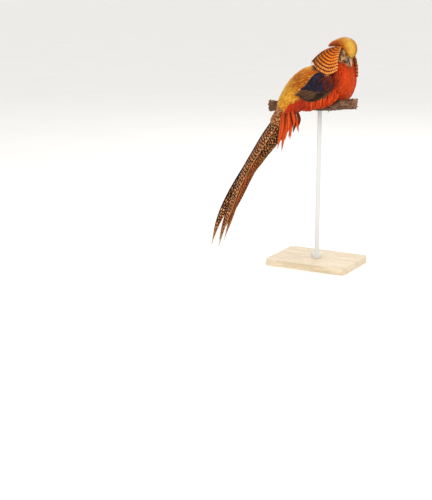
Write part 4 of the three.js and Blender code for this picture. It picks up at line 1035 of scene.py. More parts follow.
sheet_t = np.linspace(0.02, 0.93, 26)
sheet_v = np.linspace(-CAPE_OPEN, CAPE_OPEN, 61)
cape_sheet = add_mesh("cape_sheet", *shell(cape, sheet_t, sheet_v, -0.9, -2.2), cape_under)
hand_over(cape_sheet, "cape", "cape")
tier_roots = []
for n in range(CAPE_TIERS):
    tip_t = (n + 1) / CAPE_TIERS
    rim = cape(tip_t, np.linspace(-CAPE_OPEN, CAPE_OPEN, 41), 0)
    arc = np.linalg.norm(np.diff(rim, axis=0), axis=1).sum()
    count = max(int(arc / TIER_GAP), 12)
    angles = (np.arange(count) + 0.25 + 0.5 * (n % 2)) / count * 2 * CAPE_OPEN - CAPE_OPEN
    tier_roots.append(np.stack([np.full(count, tip_t), np.clip(angles, 1 - CAPE_OPEN, CAPE_OPEN - 1)], -1))
tier_roots = np.vstack(tier_roots)
cape_length = 16 + 9 * tier_roots[:, 0]
cape_width = 5 + 8 * tier_roots[:, 0]
mm_t, _ = stretch(cape, *tier_roots.T)
tier_roots[:, 0] -= cape_length * (1 - ROOT_SHARE) / mm_t
cape_coat = coat("cape_coat", cape_vane, cape, tier_roots, length=cape_length, wide=cape_width,
                 plume=cape_plume, sign=1, steps=6, columns=5, tip=square_tip, sunk=-1.0, lift=0.8,
                 spread=0.02, sheet="cape", camber=0.1, roll=0.13, fray=0.03, ring=True)
hand_over(cape_coat, "cape")

# Wings

board, tone = vane_board("flight_feather", rough=0.5, barb_mm=0.6, root_shade=0.7, contrast=0.2)
edge = board.step(board.across, 0.74, 0.86)
tone = board.mix(board.math("MULTIPLY", edge, 0.9), tone, FLIGHT_BUFF)
flight_vane = board.finish(tone)
board, tone = vane_board("wing_covert", rough=0.42, barb_mm=0.6, root_shade=0.6, contrast=0.25)
# The coverts' rims and tips are lightened to about twice their tone, a painted sheen
at_tip = board.math("SUBTRACT", 1.0, board.step(board.from_tip, 0.2, 1.4))
edge = board.math("MAXIMUM", board.step(board.across, 0.7, 0.92), at_tip)
tone = board.mix(board.math("MULTIPLY", edge, 0.6), tone, board.shade(tone, 2.8))
covert_vane = board.finish(tone)
# The sheet under the wing's feathers is a darker copy of their navy, painted shade between them
wing_board = Board("wing_under", 0.7)
wing_rows = wing_board.noise(wing_board.place(), 260.0, 2.0)
wing_under = wing_board.finish(wing_board.mix(wing_rows, NAVY * 0.4, NAVY))


def flight_line(t):
    """The share across the wing where its coverts end and its flights show."""
    return np.interp(t, [0.0, 0.2, 0.4, 0.6, 0.8, 1.0], [0.75, 0.68, 0.5, 0.18, -0.4, -0.8])


def wing_plume(u, v, t, chance):
    tone = mix(NAVY, BLUE_EDGE, 0.6 * smooth(chance, -0.2, 1.4))
    tone = mix(tone, colour(42, 22, 20), 0.6 * smooth(v - flight_line(u), -0.5, -0.1))
    front = 1 - smooth(u + 0.1 * chance, 0.04, 0.3)
    tone = mix(tone, mix(MAROON, BREAST, 0.5 * smooth(-u, -0.02, 0.06)), front)
    return speckle(tone, chance)


FLIGHTS = 8
for side, name in SIDES:
    surface = wing(side)
    core = shell(surface, np.linspace(0.02, 1.05, 24), np.linspace(-1, 1, 17), -1.2, -2.6)
    under = add_mesh(f"wing_core_{name}", *core, wing_under)
    hand_over(under, "wing", f"wing_{name}")
    roots = scatter(surface, -0.04, 0.94, -0.98, 0.98, row_mm=6.4, gap_mm=5)
    roots = roots[roots[:, 1] < flight_line(roots[:, 0] + 0.1) + 0.05]
    size = 0.75 + 0.35 * smooth(roots[:, 0], 0.1, 0.5)
    cover = coat(f"wing_coat_{name}", covert_vane, surface, roots, length=16 * size, wide=9 * size,
                 plume=wing_plume, sign=1, steps=5, columns=5, sunk=-1.6, lift=1.3, spread=0.05, sheet="wing",
                 camber=0.12)
    hand_over(cover, "wing")
    n = np.arange(FLIGHTS) / (FLIGHTS - 1)
    t = np.linspace(0, 1, 14)[None, :]
    start = 0.3 - 0.12 * n[:, None]
    path_t = start + (1.2 - 0.22 * n[:, None] - start) * t
    edge = flight_line(path_t)
    path_share = edge + (0.93 - edge) * (0.08 + 0.92 * n[:, None]) - 0.12 * t
    height = 0.9 - 0.7 * n[:, None] + 0 * t
    at, across_way, out = frame_on(surface, path_t, path_share, height, np.full(FLIGHTS, 0.1 * side))
    half = 4.2 * np.minimum(1, 0.5 + 2 * t) * np.sqrt(np.clip(1.02 - t**4, 0, 1)) + 0 * n[:, None]
    flights = vanes(f"flights_{name}", flight_vane, at, across_way, out, half, 0.12 * half,
                    lambda s, a: speckle(FLIGHT_BROWN, draw.normal(0, 1, (FLIGHTS, 1, 1))), 7, "wing",
                    np.stack([n, 0 * n + 0.9], -1))
    hand_over(flights, "wing")

# Coverts beside the tail

# Coverts: side, root's place and angle on the torso, the tip's point and the half width
COVERTS = row(
    [-1, 0.13, 106, -114, -29, -125, 5.5],
    [-1, 0.14, 124, -100, -31, -129, 6],
    [-1, 0.15, 114, -106, -31, -104, 5.5],
    [-1, 0.18, 134, -90, -32, -98, 5.5],
    [-1, 0.2, 146, -75, -31, -94, 6],
    [-1, 0.21, 132, -80, -33, -74, 5.5],
    [-1, 0.25, 152, -50, -29, -73, 5.5],
    [-1, 0.26, 138, -62, -33, -58, 5.5],
    [1, 0.13, 108, -124, 27, -96, 5.5],
    [1, 0.14, 126, -108, 29, -98, 6],
    [1, 0.18, 140, -94, 28, -84, 6],
    [1, 0.22, 150, -76, 25, -66, 5.5],
)


def covert_plume(across, chance):
    """Red with darker edges."""
    tone = speckle(COVERT_RED, chance, 0.1)
    return mix(tone, COVERT_RED * 0.45, smooth(np.abs(across), 0.55, 0.95))


paths, ways, faces, halves = [], [], [], []
share = np.linspace(0, 1, 12)
for side, place, angle, x, y, z, half_mm in COVERTS:
    root = torso(place, side * angle, -3)
    start = torso(place - 0.03, side * angle, 0.5)
    tip = row(x, y, z)
    line = curve(root, start, (start + tip) / 2 + row(3, side * 3, 0), tip)
    at, run = read(line, share)
    out = unit(np.broadcast_to(row(0, side, 0), at.shape) - run * (run @ row(0, side, 0))[:, None])
    paths.append(at)
    ways.append(np.cross(run, out))
    faces.append(out)
    halves.append(half_mm * np.minimum(1, 0.55 + 1.2 * share) * np.clip(1.03 - share**3.2, 0, 1))
covert_finish = plain_vane("tail_covert", rough=0.45, barb_mm=0.8, root_shade=0.7, contrast=0.25)
half = np.array(halves)
covert_uv = np.stack([np.arange(len(paths)) / 20, np.full(len(paths), 0.9)], -1)
coverts = vanes("tail_coverts", covert_finish, np.array(paths), np.array(ways), np.array(faces), half,
                0.2 * half, lambda s, a: covert_plume(a, draw.normal(0, 1, (len(paths), 1, 1))), 5, "long",
                covert_uv)
hand_over(coverts, "plumage_scarlet")

# Tail

TAIL_LINE = curve(
    [-92, 0, 0],
    [-109, 0, -23],
    [-134, 0, -66],
    [-162, 0, -109],
    [-195, 0, -160],
    [-238, 0, -229],
    [-280, 0, -308],
    [-306, 0, -367],
    [-329, 0, -436],
)
TAIL_DEPTHS = row(26, 40, 46, 44, 43, 44, 44, 41, 33)[:, None]
TAIL_OPEN = [0, 3, 7, 0, 0, 0, 0]
# Each pair's ends, left and right, as shares of the tail's length, and how far its tips bend
TAIL_ENDS = [
    (1, 0.985, 11, -19),
    (0.955, 0.93, -3, -26),
    (0.86, 0.85, -4, -8),
    (0.69, 0.67, 0, 0),
    (0.55, 0.53, 0, 0),
    (0.43, 0.42, 0, 0),
    (0.33, 0.34, 0, 0),
]
TAIL_COLUMNS = 13


def rectrix(pair, side, end, bend, steps):
    """One long tail feather's middle line, directions across and facing, and half widths."""
    t = np.linspace(0, 1, steps)
    at, run = read(TAIL_LINE, t * end)
    over = np.stack([run[:, 2], 0 * t, -run[:, 0]], -1)
    over = np.where(over[:, 2:3] < 0, -over, over)
    tilt = math.radians(62 + 1.5 * pair)
    out = over * math.cos(tilt) + row(0, side * math.sin(tilt), 0)
    down = -over * math.sin(tilt) + row(0, side * math.cos(tilt), 0)
    depth = along(TAIL_DEPTHS, t * end)[:, 0]
    broad = depth * (0.36 if pair == 0 else 0.33)
    fan = smooth(t * end, -0.05, 0.11)
    opened = TAIL_OPEN[pair] * smooth(t * end, 0.35, 0.72)
    spread = fan * (broad + pair * 5.6 * (1 - 0.35 * t) + opened) + (1 - fan) * 2 * pair
    middle = (
        at
        + over * (fan * depth / 2)[:, None]
        + row(0, 0.8 * side, 0)
        + down * spread[:, None]
        - out * (1.35 * pair * (0.5 + 0.5 * fan))[:, None]
        + over * (bend * smooth(t, 0.42, 0.92))[:, None]
    )
    half = np.maximum(0.7, broad * (0.5 + 0.5 * np.minimum(1, 6 * t)) * (1 - t**4.5))
    return middle, down * side, out, half, np.stack([t * end, 0 * t + side], -1)


def tail_board(name, kind):
    """Buff spots in a black net, and dark bars instead on the side feathers' outer parts."""
    board, tone = vane_board(name, rough=0.5, barb_mm=0.7, root_shade=0.85, contrast=0.18, shaft=1.0)
    on_vane = board.join(board.wide, board.from_tip, board.own)
    ragged = board.noise(on_vane, 0.32, 3.0)
    size, black = (1.3, 0.11) if kind == "covert" else (1.0, 0.17)
    net_across = board.math("MULTIPLY_ADD", ragged, 0.6, board.math("MULTIPLY", board.wide, 0.17 * size))
    place = board.join(net_across, board.math("MULTIPLY", board.from_tip, 0.1 * size), board.own)
    cells = board.node("ShaderNodeTexVoronoi", {"Vector": place, "Scale": 1.0, "Randomness": 0.85},
                       feature="DISTANCE_TO_EDGE", voronoi_dimensions="2D").outputs["Distance"]
    patchy = board.noise(on_vane, 0.11, 2.0)
    tone = board.mix(board.step(patchy, 0.42, 0.58, 0.75, 0.0), tone, TAIL_CINNAMON)
    buff = board.shade(tone, board.step(ragged, 0.3, 0.7, 0.85, 1.15))
    spots = board.mix(board.step(cells, black, black + 0.12), TAIL_BLACK, buff)
    if kind == "covert":
        return board.finish(spots)
    far = board.attribute("ring")
    if kind == "side":
        slope = board.math("MULTIPLY_ADD", board.math("ABSOLUTE", board.wide), 0.8, board.from_tip)
        slope = board.math("MULTIPLY_ADD", ragged, 6.0, slope)
        wave = board.math("SINE", board.math("MULTIPLY", slope, TAU / 9.0))
        bars = board.mix(board.step(wave, 0.0, 0.4), TAIL_CINNAMON, TAIL_BAR)
        bars = board.mix(board.step(cells, 0.05, 0.12), TAIL_BAR, bars)
        tone = board.mix(board.step(far, 0.3, 0.42), spots, bars)
    else:
        tone = spots
        edge = board.math("MULTIPLY", board.attribute("across"), board.attribute("way"))
        ragged_edge = board.math("MULTIPLY_ADD", ragged, 0.3, edge)
        tone = board.mix(board.step(ragged_edge, -0.6, -0.48, 1.0, 0.0), tone, TAIL_BLACK)
        tone = board.mix(board.step(edge, 0.84, 0.92), tone, colour(214, 146, 90))
    tone = board.mix(board.step(board.from_tip, 10.0, 70.0, 0.6, 0.0), tone, colour(176, 118, 62))
    return board.finish(tone)


def sleeve_plume(u, v, t, chance):
    return TAIL_BUFF


tail_centre = tail_board("tail_centre", "centre")
tail_side = tail_board("tail_side", "side")
upper_covert = tail_board("upper_tail_covert", "covert")
sleeve_roots = scatter(trunk, 0.175, 0.03, -128, 128, row_mm=8, gap_mm=7)
sleeve = coat("upper_tail_coverts", upper_covert, trunk, sleeve_roots, length=34, wide=13, plume=sleeve_plume,
              steps=7, columns=5, lift=1.0, spread=0.05, camber=0.12)
hand_over(sleeve, "tail")
TAIL_PARTS = (("tail_centre", tail_centre, range(0, 1)), ("tail_sides", tail_side, range(1, 7)))
for name, finish, pairs in TAIL_PARTS:
    made = [
        rectrix(pair, side, TAIL_ENDS[pair][place], TAIL_ENDS[pair][place + 2], 60)
        for pair in pairs
        for place, side in enumerate((1, -1))
    ]
    at, down, out, half, marks = (np.array(part) for part in zip(*made))
    level = 0.3 if name == "tail_centre" else 0.6
    tail_uv = np.stack([np.linspace(0.1, 0.9, len(made)), np.full(len(made), level)], -1)
    tail = vanes(name, finish, at, down, out, half, 0.1 * half, lambda s, a: TAIL_BUFF, TAIL_COLUMNS, "long",
                 tail_uv, marks[..., 0])
    set_values(tail, "way", np.repeat(marks[..., 1:], TAIL_COLUMNS, axis=2))
    hand_over(tail, "tail", *(["tail"] if name == "tail_centre" else []))

# Eyes, lids and bill


def ball(centre, radius, axis, rings=20, sides=28):
    """A sphere whose pole looks along the axis, as a closed tube."""
    axis = unit(axis)
    side = unit(np.cross(axis, row(0.31, 0.2, 0.93)))
    other = np.cross(axis, side)
    polar = np.linspace(0.004, np.pi - 0.004, rings)[:, None]
    turn = np.linspace(0, TAU, sides, endpoint=False)[None, :]
    off = (
        (np.sin(polar) * np.cos(turn))[..., None] * side
        + (np.sin(polar) * np.sin(turn))[..., None] * other
        + (np.cos(polar) + 0 * turn)[..., None] * axis
    )
    return centre + radius * off, np.broadcast_to(polar, (rings, sides))


def ring_tube(centre, axis, radius, thick, squash_up, sides=12, rings=48):
    """A closed ring round an axis, its middle line an ellipse a little lower than wide."""
    axis = unit(axis)
    level = unit(HEAD_FORWARD - axis * (HEAD_FORWARD @ axis))
    up = np.cross(axis, level)
    turn = np.linspace(0, TAU, rings, endpoint=False)[:, None]
    around = np.linspace(0, TAU, sides, endpoint=False)[None, :]
    heading = np.cos(turn)[..., None] * level + (squash_up * np.sin(turn))[..., None] * up
    far = radius + thick * np.cos(around)
    points = centre + heading * far[..., None] + (thick * np.sin(around))[..., None] * axis
    a, b = np.meshgrid(np.arange(rings), np.arange(sides), indexing="ij")
    first = a * sides + b
    right = a * sides + (b + 1) % sides
    below = (a + 1) % rings * sides
    quads = np.stack([first, below + b, below + (b + 1) % sides, right], -1).reshape(-1, 4)
    return outwards(points.reshape(-1, 3), quads, np.empty((0, 3), int))


PUPIL_DEGREES = 24
IRIS_DEGREES = 47
eye_board = Board("eye", 0.08, Coat_Weight=1.0, Coat_Roughness=0.02)
polar = eye_board.attribute("polar")
fleck = eye_board.noise(eye_board.place(), 1400.0, 3.0)
eye_tone = eye_board.mix(eye_board.step(fleck, 0.3, 0.7), colour(230, 208, 150), colour(248, 236, 198))
pupil = eye_board.step(polar, PUPIL_DEGREES - 2, PUPIL_DEGREES + 2, 1.0, 0.0)
eye_tone = eye_board.mix(pupil, eye_tone, colour(8, 6, 6))
eye_tone = eye_board.mix(eye_board.step(polar, IRIS_DEGREES - 5, IRIS_DEGREES), eye_tone, colour(36, 22, 16))
eye_finish = eye_board.finish(eye_tone)
lid_board = Board("lid", 0.5)
lid_grain = lid_board.noise(lid_board.place(), 1500.0, 2.0)
lid_board.bump(lid_grain, 0.0002)
lid_finish = lid_board.finish(lid_board.mix(lid_grain, colour(206, 172, 132), colour(252, 232, 196)))
for side, name in SIDES:
    outward = unit(-HEAD_RIGHT * side + 0.35 * HEAD_FORWARD + 0.3 * HEAD_UP)
    centre = on_head(EYE_AT["f"], -side * (EYE_AT["r"] + 0.9), EYE_AT["u"] + 0.4)
    globe, angle_out = ball(centre + outward * 0.1, EYE_RADIUS - 0.1, outward)
    eye = add_mesh(f"eye_ball_{name}", *tube(globe), eye_finish)
    set_values(eye, "polar", np.degrees(angle_out))
    hand_over(eye, "eye", f"eye_{name}")
    lid = add_mesh(f"lids_{name}", *ring_tube(centre + outward * 1.9, outward, 4.9, 1.25, 0.86), lid_finish)
    hand_over(lid, "face")

bill_board = Board("bill_horn", 0.38)
bill_fine = bill_board.noise(bill_board.place(), 700.0, 3.0)
bill_tone = bill_board.mix(bill_board.step(bill_fine, 0.3, 0.7), colour(84, 54, 42), colour(120, 80, 58))
# The upper bill's ridge is pale horn, a painted highlight on the darker bill
horn = bill_board.mix(bill_board.attribute("tip"), colour(150, 124, 96), colour(214, 150, 114))
bill_tone = bill_board.mix(bill_board.attribute("culmen"), bill_tone, horn)
bill_tone = bill_board.mix(bill_board.attribute("hollow"), bill_tone, colour(30, 22, 18))
bill_board.bump(bill_fine, 0.0001)
bill_finish = bill_board.finish(bill_tone)
NOSTRIL = {"f": 27, "u": 1.6, "long": 2.8, "high": 1.1, "deep": 1.3}
places = np.linspace(0, 1, 40)
turns = np.arange(0, 360, 7.5)
for name, stations in (("upper", BILL_UPPER), ("lower", BILL_LOWER)):
    ring = loft_on_head(stations)(places[:, None], turns[None, :], 0.15)
    flat = ring.reshape(-1, 3)
    f, r, u = head_frame(flat)
    far = ((f - NOSTRIL["f"]) / NOSTRIL["long"]) ** 2 + ((u - NOSTRIL["u"]) / NOSTRIL["high"]) ** 2
    pit = np.exp(-far) * (np.abs(r) > 2) * (name == "upper")
    flat = flat - pit[:, None] * np.sign(r)[:, None] * HEAD_RIGHT * NOSTRIL["deep"]
    bill = add_mesh(f"bill_{name}_horn", *tube(flat.reshape(ring.shape)), bill_finish)
    up = np.broadcast_to(np.cos(np.radians(turns)), (len(places), len(turns))).ravel()
    # The ridge of the upper bill carries the painted highlight
    set_values(bill, "culmen", smooth(up, 0.62, 0.95) * (0.9 if name == "upper" else 0))
    set_values(bill, "tip", smooth(f, 28, 40))
    set_values(bill, "hollow", smooth(pit, 0.2, 0.6))
    hand_over(bill, "bill", f"bill_{name}")

# Branch

BRANCH_RADIUS = 12.6
BRANCH_LINE = curve(*BRANCH_POINTS)
WAVE_ROUNDS = 3


def wander(points, size, seed):
    """A smooth uneven height over points, made of waves in fixed directions."""
    waves = np.random.default_rng(seed)
    height = np.zeros(points.shape[:-1])
    for n in range(8 * WAVE_ROUNDS):
        pitch = size / 1.6 ** (n // 8)
        direction = unit(waves.normal(size=3)) * TAU / pitch
        height += np.sin(points @ direction + waves.uniform(0, TAU)) / (1 + n // 8)
    return height / (3 * WAVE_ROUNDS)


branch_t = np.linspace(0, 1, 260)
branch_turn = np.linspace(0, TAU, 96, endpoint=False)
at, run = read(BRANCH_LINE, branch_t)
side_way = unit(np.cross(run, row(0, 0, 1)))
up_way = np.cross(side_way, run)
round_way = np.cos(branch_turn)[None, :, None] * up_way[:, None]
round_way = round_way + np.sin(branch_turn)[None, :, None] * side_way[:, None]
t, turn = branch_t[:, None], branch_turn[None, :]
bark = 0.7 * np.sin(3 * turn + 11 * t) + 0.5 * np.sin(5 * turn - 19 * t)
knot = 2.5 * np.exp(-(((t - 0.24) / 0.05) ** 2)) * np.maximum(0, np.cos(turn - 2))
ends = 1 + 0.32 * np.exp(-t / 0.07) + 0.16 * np.exp(-(1 - t) / 0.07)
smooth_bark = at[:, None] + round_way * (BRANCH_RADIUS - 1.0)
ridges = wander(np.stack([turn * 9 + 0 * t, t * 38 + 0.3 * np.sin(turn * 3), 0 * t + 0 * turn], -1), 5.5, 4)
radius = (BRANCH_RADIUS - 0.5 + bark) * ends + knot + 0.55 * ridges + 0.5 * wander(smooth_bark, 14, 7)
points = at[:, None] + round_way * radius[..., None]
jag = wander(np.stack([np.cos(turn) * 9 + 0 * t, np.sin(turn) * 9 + 0 * t, 0 * t + 0 * turn], -1), 5, 9)
points = points + run[:, None] * (jag * 5 * (np.exp(-t / 0.02) + np.exp(-(1 - t) / 0.02)))[..., None]
inner = np.linspace(1, 0.02, 9)[1:, None, None]


def broken_end(rim, middle, seed):
    """Rings from a rim in to the middle, splintered where the wood broke."""
    rings = middle + (rim - middle) * inner
    return rings + row(-1, 0.3, 0) * (1.6 * wander(rings, 4, seed) * (1 - inner[..., 0]))[..., None]


start = broken_end(points[0][None], at[0], 21)
finish_end = broken_end(points[-1][None], at[-1], 22)
rings = np.concatenate([start[::-1], points, finish_end])
bare_side = np.exp(-t / 0.01) + np.exp(-(1 - t) / 0.006) + 0 * turn
bare = np.concatenate([np.ones(start.shape[:2]), bare_side, np.ones(finish_end.shape[:2])])
board = Board("bark", 0.85)
flakes = board.noise(board.place(), 95.0, 4.0, 0.65)
lichen = board.noise(board.place(), 42.0, 3.0, 0.6)
lengthwise = board.stretched(0.28, 1, 1)
warped = board.node("ShaderNodeMix", {"Factor": 0.012}, data_type="VECTOR")
board.put(warped.inputs[4], lengthwise)
board.put(warped.inputs[5], board.noise(lengthwise, 130.0, 3.0, output="Color"))
cracks = board.node("ShaderNodeTexVoronoi", {"Vector": warped.outputs[1], "Scale": 240.0},
                    feature="DISTANCE_TO_EDGE").outputs["Distance"]
bark_tone = board.mix(board.step(flakes, 0.3, 0.68), colour(48, 27, 17), colour(118, 74, 46))
bark_tone = board.mix(board.step(lichen, 0.56, 0.7, 0.0, 0.6), bark_tone, colour(166, 128, 98))
# The bark is darkened in its cracks, painted shade in the fissures
bark_tone = board.shade(bark_tone, board.step(cracks, 0.0, 0.12, 0.55, 1.0))
fibre = board.noise(board.stretched(40, 400, 400), 1.0, 3.0)
bare_wood = board.mix(board.step(fibre, 0.3, 0.7), colour(112, 72, 48), colour(168, 122, 86))
bark_tone = board.mix(board.step(board.attribute("bare"), 0.2, 0.8), bark_tone, bare_wood)
board.bump(board.math("ADD", flakes, board.math("MULTIPLY", board.step(cracks, 0.0, 0.15), 0.4)), 0.0012)
branch = add_mesh("branch_bark", *tube(rings), board.finish(bark_tone))
set_values(branch, "bare", np.clip(bare, 0, 1))
hand_over(branch, "bark", "perch_branch")


FLAKE_SIZES = {"Spacing": 0.0042, "Length": 0.0085, "Width": 0.0042, "Thickness": 0.0018, "Seed": 4}


def flake_tree(material):
    """Geometry nodes that scatter flat flakes of bark, long way along the branch, over any surface."""
    tree = bpy.data.node_groups.new("bark_flakes", "GeometryNodeTree")
    tree.interface.new_socket("Surface", in_out="INPUT", socket_type="NodeSocketGeometry")
    for name, value in FLAKE_SIZES.items():
        kind = "NodeSocketInt" if name == "Seed" else "NodeSocketFloat"
        tree.interface.new_socket(name, in_out="INPUT", socket_type=kind).default_value = value
    tree.interface.new_socket("Flakes", in_out="OUTPUT", socket_type="NodeSocketGeometry")

    def node(kind, inputs=(), **settings):
        return add_node(tree, kind, inputs, **settings)

    given = node("NodeGroupInput").outputs
    normal = node("GeometryNodeInputNormal").outputs[0]
    facing = node("ShaderNodeVectorMath", {0: normal, 1: (0.94, -0.33, 0.07)}, operation="DOT_PRODUCT")
    endwise = node("ShaderNodeMath", {0: facing.outputs["Value"]}, operation="ABSOLUTE").outputs[0]
    on_side = node("ShaderNodeMath", {0: endwise, 1: 0.72}, operation="LESS_THAN").outputs[0]
    points = node("GeometryNodeDistributePointsOnFaces", {
        "Mesh": given["Surface"],
        "Selection": on_side,
        "Distance Min": given["Spacing"],
        "Density Max": 60000.0,
        "Seed": given["Seed"],
    }, distribute_method="POISSON").outputs
    turned = node("FunctionNodeAlignRotationToVector", {
        "Rotation": points["Rotation"],
        "Vector": (1.0, -0.35, 0.08),
    }, axis="X", pivot_axis="Z").outputs[0]
    ball = node("GeometryNodeMeshUVSphere", {"Segments": 7, "Rings": 4, "Radius": 0.5}).outputs["Mesh"]
    size = node("ShaderNodeCombineXYZ", {0: given["Length"], 1: given["Width"], 2: given["Thickness"]})
    flake = node("GeometryNodeTransform", {"Geometry": ball, "Scale": size.outputs[0]}).outputs[0]
    spread = node("FunctionNodeRandomValue", {0: (0.5, 0.5, 0.6), 1: (1.5, 1.3, 1.3), "Seed": given["Seed"]},
                  data_type="FLOAT_VECTOR").outputs[0]
    placed = node("GeometryNodeInstanceOnPoints", {
        "Points": points["Points"], "Instance": flake, "Rotation": turned, "Scale": spread,
    }).outputs[0]
    real = node("GeometryNodeRealizeInstances", {0: placed}).outputs[0]
    finished = node("GeometryNodeSetMaterial", {"Geometry": real, "Material": material}).outputs[0]
    node("NodeGroupOutput", {0: finished})
    return tree


board = Board("bark_flake", 0.85)
grain = board.noise(board.stretched(60, 300, 300), 1.0, 3.0, 0.6)
patches = board.noise(board.place(), 70.0, 2.0)
flake_tone = board.mix(board.step(grain, 0.3, 0.7), colour(54, 31, 20), colour(124, 80, 52))
flake_tone = board.mix(board.step(patches, 0.52, 0.68, 0.0, 0.6), flake_tone, colour(160, 120, 90))
board.bump(grain, 0.0006)
flake_finish = board.finish(flake_tone)
flakes = bpy.data.objects.new("bark_flakes", branch.data.copy())
bpy.context.scene.collection.objects.link(flakes)
maker = flakes.modifiers.new("flakes", "NODES")
maker.node_group = flake_tree(flake_finish)
for socket in maker.node_group.interface.items_tree:
    if socket.in_out == "INPUT" and socket.name in FLAKE_SIZES:
        maker[socket.identifier] = FLAKE_SIZES[socket.name]
settle(flakes)
where = points_of(flakes)
middle = at[np.abs(where[:, :1] - at[None, :, 0]).argmin(axis=1)]
around = np.arctan2(where[:, 2] - middle[:, 2], where[:, 1] - middle[:, 1]) / TAU + 0.5
set_uv(flakes, np.stack([0.05 + 0.9 * smooth(where[:, 0], -200, 130), 0.05 + 0.9 * around], -1))
hand_over(flakes, "bark")

# Feet

TOE_RADIUS = 2.7
TARSUS_RADIUS = 3.3
TOE_HUG = BRANCH_RADIUS + 1.5 + TOE_RADIUS + 0.3
FOOT_ALONG_BRANCH = 27
# Each toe's slant along the branch, its degrees round the branch and its claw's length
TOES = [(-13, 112, 9), (-2, 126, 10), (10, 110, 9), (-1, -74, 7)]
SHANK_BACK = 38
SHANK_OUT = 9
SHANK_UP = 22
CLAW_RADIUS = 1.95
CLAW_TIP = 0.35


def pipe(line, radius_at, rings, sides):
    """Rings of points round a line, for a closed tube. The radius is a function of the share of the way."""
    share = np.linspace(0, 1, rings)
    at, run = read(line, share)
    normal = unit(np.cross(run[0], row(0.3, 0.1, 0.95)))
    turn = np.linspace(0, TAU, sides, endpoint=False)
    out = []
    for i in range(rings):
        normal = unit(normal - run[i] * (normal @ run[i]))
        other = np.cross(run[i], normal)
        around = np.cos(turn)[:, None] * normal + np.sin(turn)[:, None] * other
        out.append(at[i] + radius_at(share[i]) * around)
    return np.array(out)


def scales(share, length, size):
    """Raised scutes along a toe or shank."""
    phase = (share * length / size) % 1
    return 0.28 * (1 - phase) ** 0.5 - 0.1


def shank_radius(t):
    return TARSUS_RADIUS * (1 + 0.25 * (2 * t - 1) ** 2) + scales(t, 45, 3.4)


def toe_radius(t, length):
    return TOE_RADIUS * (1 - 0.22 * t) * (1 + 0.07 * np.sin(9 * np.pi * t)) + scales(t, length, 2.3)


def claw_radius(t):
    return CLAW_RADIUS + (CLAW_TIP - CLAW_RADIUS) * t


board = Board("leg_scales", 0.48)
grain = board.noise(board.place(), 900.0, 3.0)
leg_tone = board.mix(board.step(grain, 0.25, 0.75), colour(168, 128, 74), colour(214, 178, 112))
board.bump(grain, 0.00025)
leg_finish = board.finish(leg_tone)
board = Board("claw_horn", 0.35)
grain = board.noise(board.place(), 500.0, 3.0)
claw_finish = board.finish(board.mix(grain, colour(44, 32, 26), colour(96, 76, 58)))
nearest = np.argmin(np.linalg.norm(BRANCH_LINE[0], axis=1))
under_bird = BRANCH_LINE[1][nearest] / BRANCH_LINE[1][-1]
for side, name in SIDES:
    at, run = read(BRANCH_LINE, under_bird - side * FOOT_ALONG_BRANCH / BRANCH_LINE[1][-1])
    up = unit(row(0, 0, 1) - run * run[2])
    front = -np.cross(run, up)
    pad = at + up * TOE_HUG
    ankle = pad + row(-SHANK_BACK, side * SHANK_OUT, SHANK_UP)
    shank_line = curve(pad, (pad + ankle) / 2 + row(0, 0, -1), ankle)
    parts = [
        tube(ball(pad + up * 0.6, TOE_RADIUS + 1.6, up)[0]),
        tube(pipe(shank_line, shank_radius, 64, 18)),
    ]
    claws = []
    for spread, wrap, claw in TOES:
        turn = np.radians(wrap * np.linspace(0, 1, 9))[:, None]
        away = np.minimum(1, 1.6 * np.linspace(0, 1, 9))[:, None]
        way = at + up * np.cos(turn) * TOE_HUG + front * np.sin(turn) * TOE_HUG + run * spread * away
        toe_line = curve(*way)
        size = toe_line[1][-1]
        parts.append(tube(pipe(toe_line, lambda t: toe_radius(t, size), 60, 16)))
        end = way[-1]
        heading = read(toe_line, 1.0)[1]
        off = end - at
        off = unit(off - run * (off @ run))
        claw_middle = end + heading * claw * 0.5 + off * 0.6
        claw_line = curve(end - heading * 2, claw_middle, end + heading * claw - off * 0.4)
        claws.append(tube(pipe(claw_line, claw_radius, 14, 12)))
    foot = add_mesh(f"toes_{name}", *joined(parts), leg_finish)
    hand_over(foot, "leg", f"foot_{name}")
    nails = add_mesh(f"claws_{name}", *joined(claws), claw_finish)
    hand_over(nails, "leg")

# Stand

board = Board("stand_pale_metal", 0.4)
brushed = board.noise(board.stretched(900, 900, 30), 1.0, 2.0)
board.bump(brushed, 0.00005)
metal_tone = board.mix(brushed, colour(206, 205, 202), colour(220, 219, 216))
metal = board.finish(metal_tone, board.step(brushed, 0.2, 0.8, 0.36, 0.48))
board = Board("stand_wood", 0.42, Coat_Weight=0.25, Coat_Roughness=0.2)
rings_of_wood = board.noise(board.stretched(8, 60, 60), 1.0, 4.0, 0.6)
pores = board.noise(board.stretched(60, 1100, 1100), 1.0, 2.0)
wood_tone = board.mix(board.step(rings_of_wood, 0.32, 0.68), colour(206, 184, 150), colour(228, 210, 180))
wood_tone = board.shade(wood_tone, board.step(pores, 0.3, 0.6, 0.75, 1.05))
board.bump(pores, 0.0001)
wood = board.finish(wood_tone)
for name, finish in (("stand_rod", metal), ("stand_collar", metal), ("stand_base", wood)):
    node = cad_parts[name]
    node.data.materials.clear()
    node.data.materials.append(finish)

# Floor, light and camera

board = Board("pale_floor", 0.9)
cloud = board.noise(board.place(), 3.0, 2.0)
floor_finish = board.finish(board.mix(cloud, colour(238, 237, 235), colour(243, 242, 240)))
FLOOR_HALF = 60000
corners = [[x * FLOOR_HALF, y * FLOOR_HALF, -PERCH_HEIGHT] for x, y in ((-1, -1), (1, -1), (1, 1), (-1, 1))]
floor = add_mesh("floor", corners, [[0, 1, 2, 3]], np.empty((0, 3)), floor_finish)


LAMP_AIM = Vector((0.0, 0.0, 0.4))


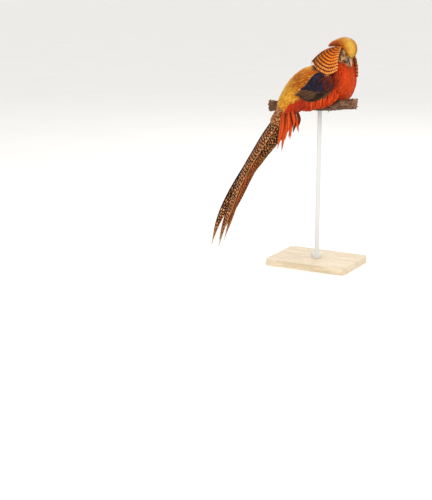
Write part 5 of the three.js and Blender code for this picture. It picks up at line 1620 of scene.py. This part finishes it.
def lamp(name, place, size, power):
    light = bpy.data.lights.new(name, "AREA")
    light.shape = "DISK"
    light.size = size
    light.energy = power
    made = bpy.data.objects.new(name, light)
    bpy.context.scene.collection.objects.link(made)
    made.location = place
    made.rotation_euler = (LAMP_AIM - Vector(place)).to_track_quat("-Z", "Y").to_euler()


lamp("key_light", (1.7, -1.5, 2.7), 1.5, 46)
lamp("fill_light", (-1.6, -2.0, 1.4), 2.2, 12)
lamp("back_light", (-0.6, 2.2, 2.4), 1.8, 14)
world = bpy.data.worlds.new("studio")
world.use_nodes = True
world.node_tree.nodes["Background"].inputs["Color"].default_value = (1.0, 0.995, 0.985, 1)
world.node_tree.nodes["Background"].inputs["Strength"].default_value = 0.95
bpy.context.scene.world = world
bpy.context.scene.view_settings.view_transform = "Standard"

CAMERA_AZIMUTH = math.radians(29)
CAMERA_TILT = math.radians(14)
MM_PER_PIXEL = 2.75
FOCAL_PIXELS = 1111.1
PERCH_POINT_IN_PHOTO = (320, 106)
PHOTO_SIZE = (432, 500)
SENSOR_MM = 36
back = row(
    math.sin(CAMERA_AZIMUTH) * math.cos(CAMERA_TILT),
    -math.cos(CAMERA_AZIMUTH) * math.cos(CAMERA_TILT),
    math.sin(CAMERA_TILT),
)
right = row(math.cos(CAMERA_AZIMUTH), math.sin(CAMERA_AZIMUTH), 0)
up = np.cross(back, right)
eye_point = (
    -(PERCH_POINT_IN_PHOTO[0] - PHOTO_SIZE[0] / 2) * MM_PER_PIXEL * right
    - (PHOTO_SIZE[1] / 2 - PERCH_POINT_IN_PHOTO[1]) * MM_PER_PIXEL * up
    + MM_PER_PIXEL * FOCAL_PIXELS * back
)
lens = bpy.data.cameras.new("camera")
lens.sensor_fit = "VERTICAL"
lens.sensor_height = SENSOR_MM
lens.lens = SENSOR_MM * FOCAL_PIXELS / PHOTO_SIZE[1]
lens.clip_end = 100
camera = bpy.data.objects.new("camera", lens)
bpy.context.scene.collection.objects.link(camera)
spot = (eye_point + row(0, 0, PERCH_HEIGHT)) / 1000
axes_and_spot = np.stack([right, up, back, spot], -1).tolist()
camera.matrix_world = Matrix([*axes_and_spot, [0, 0, 0, 1]])
bpy.context.scene.camera = camera
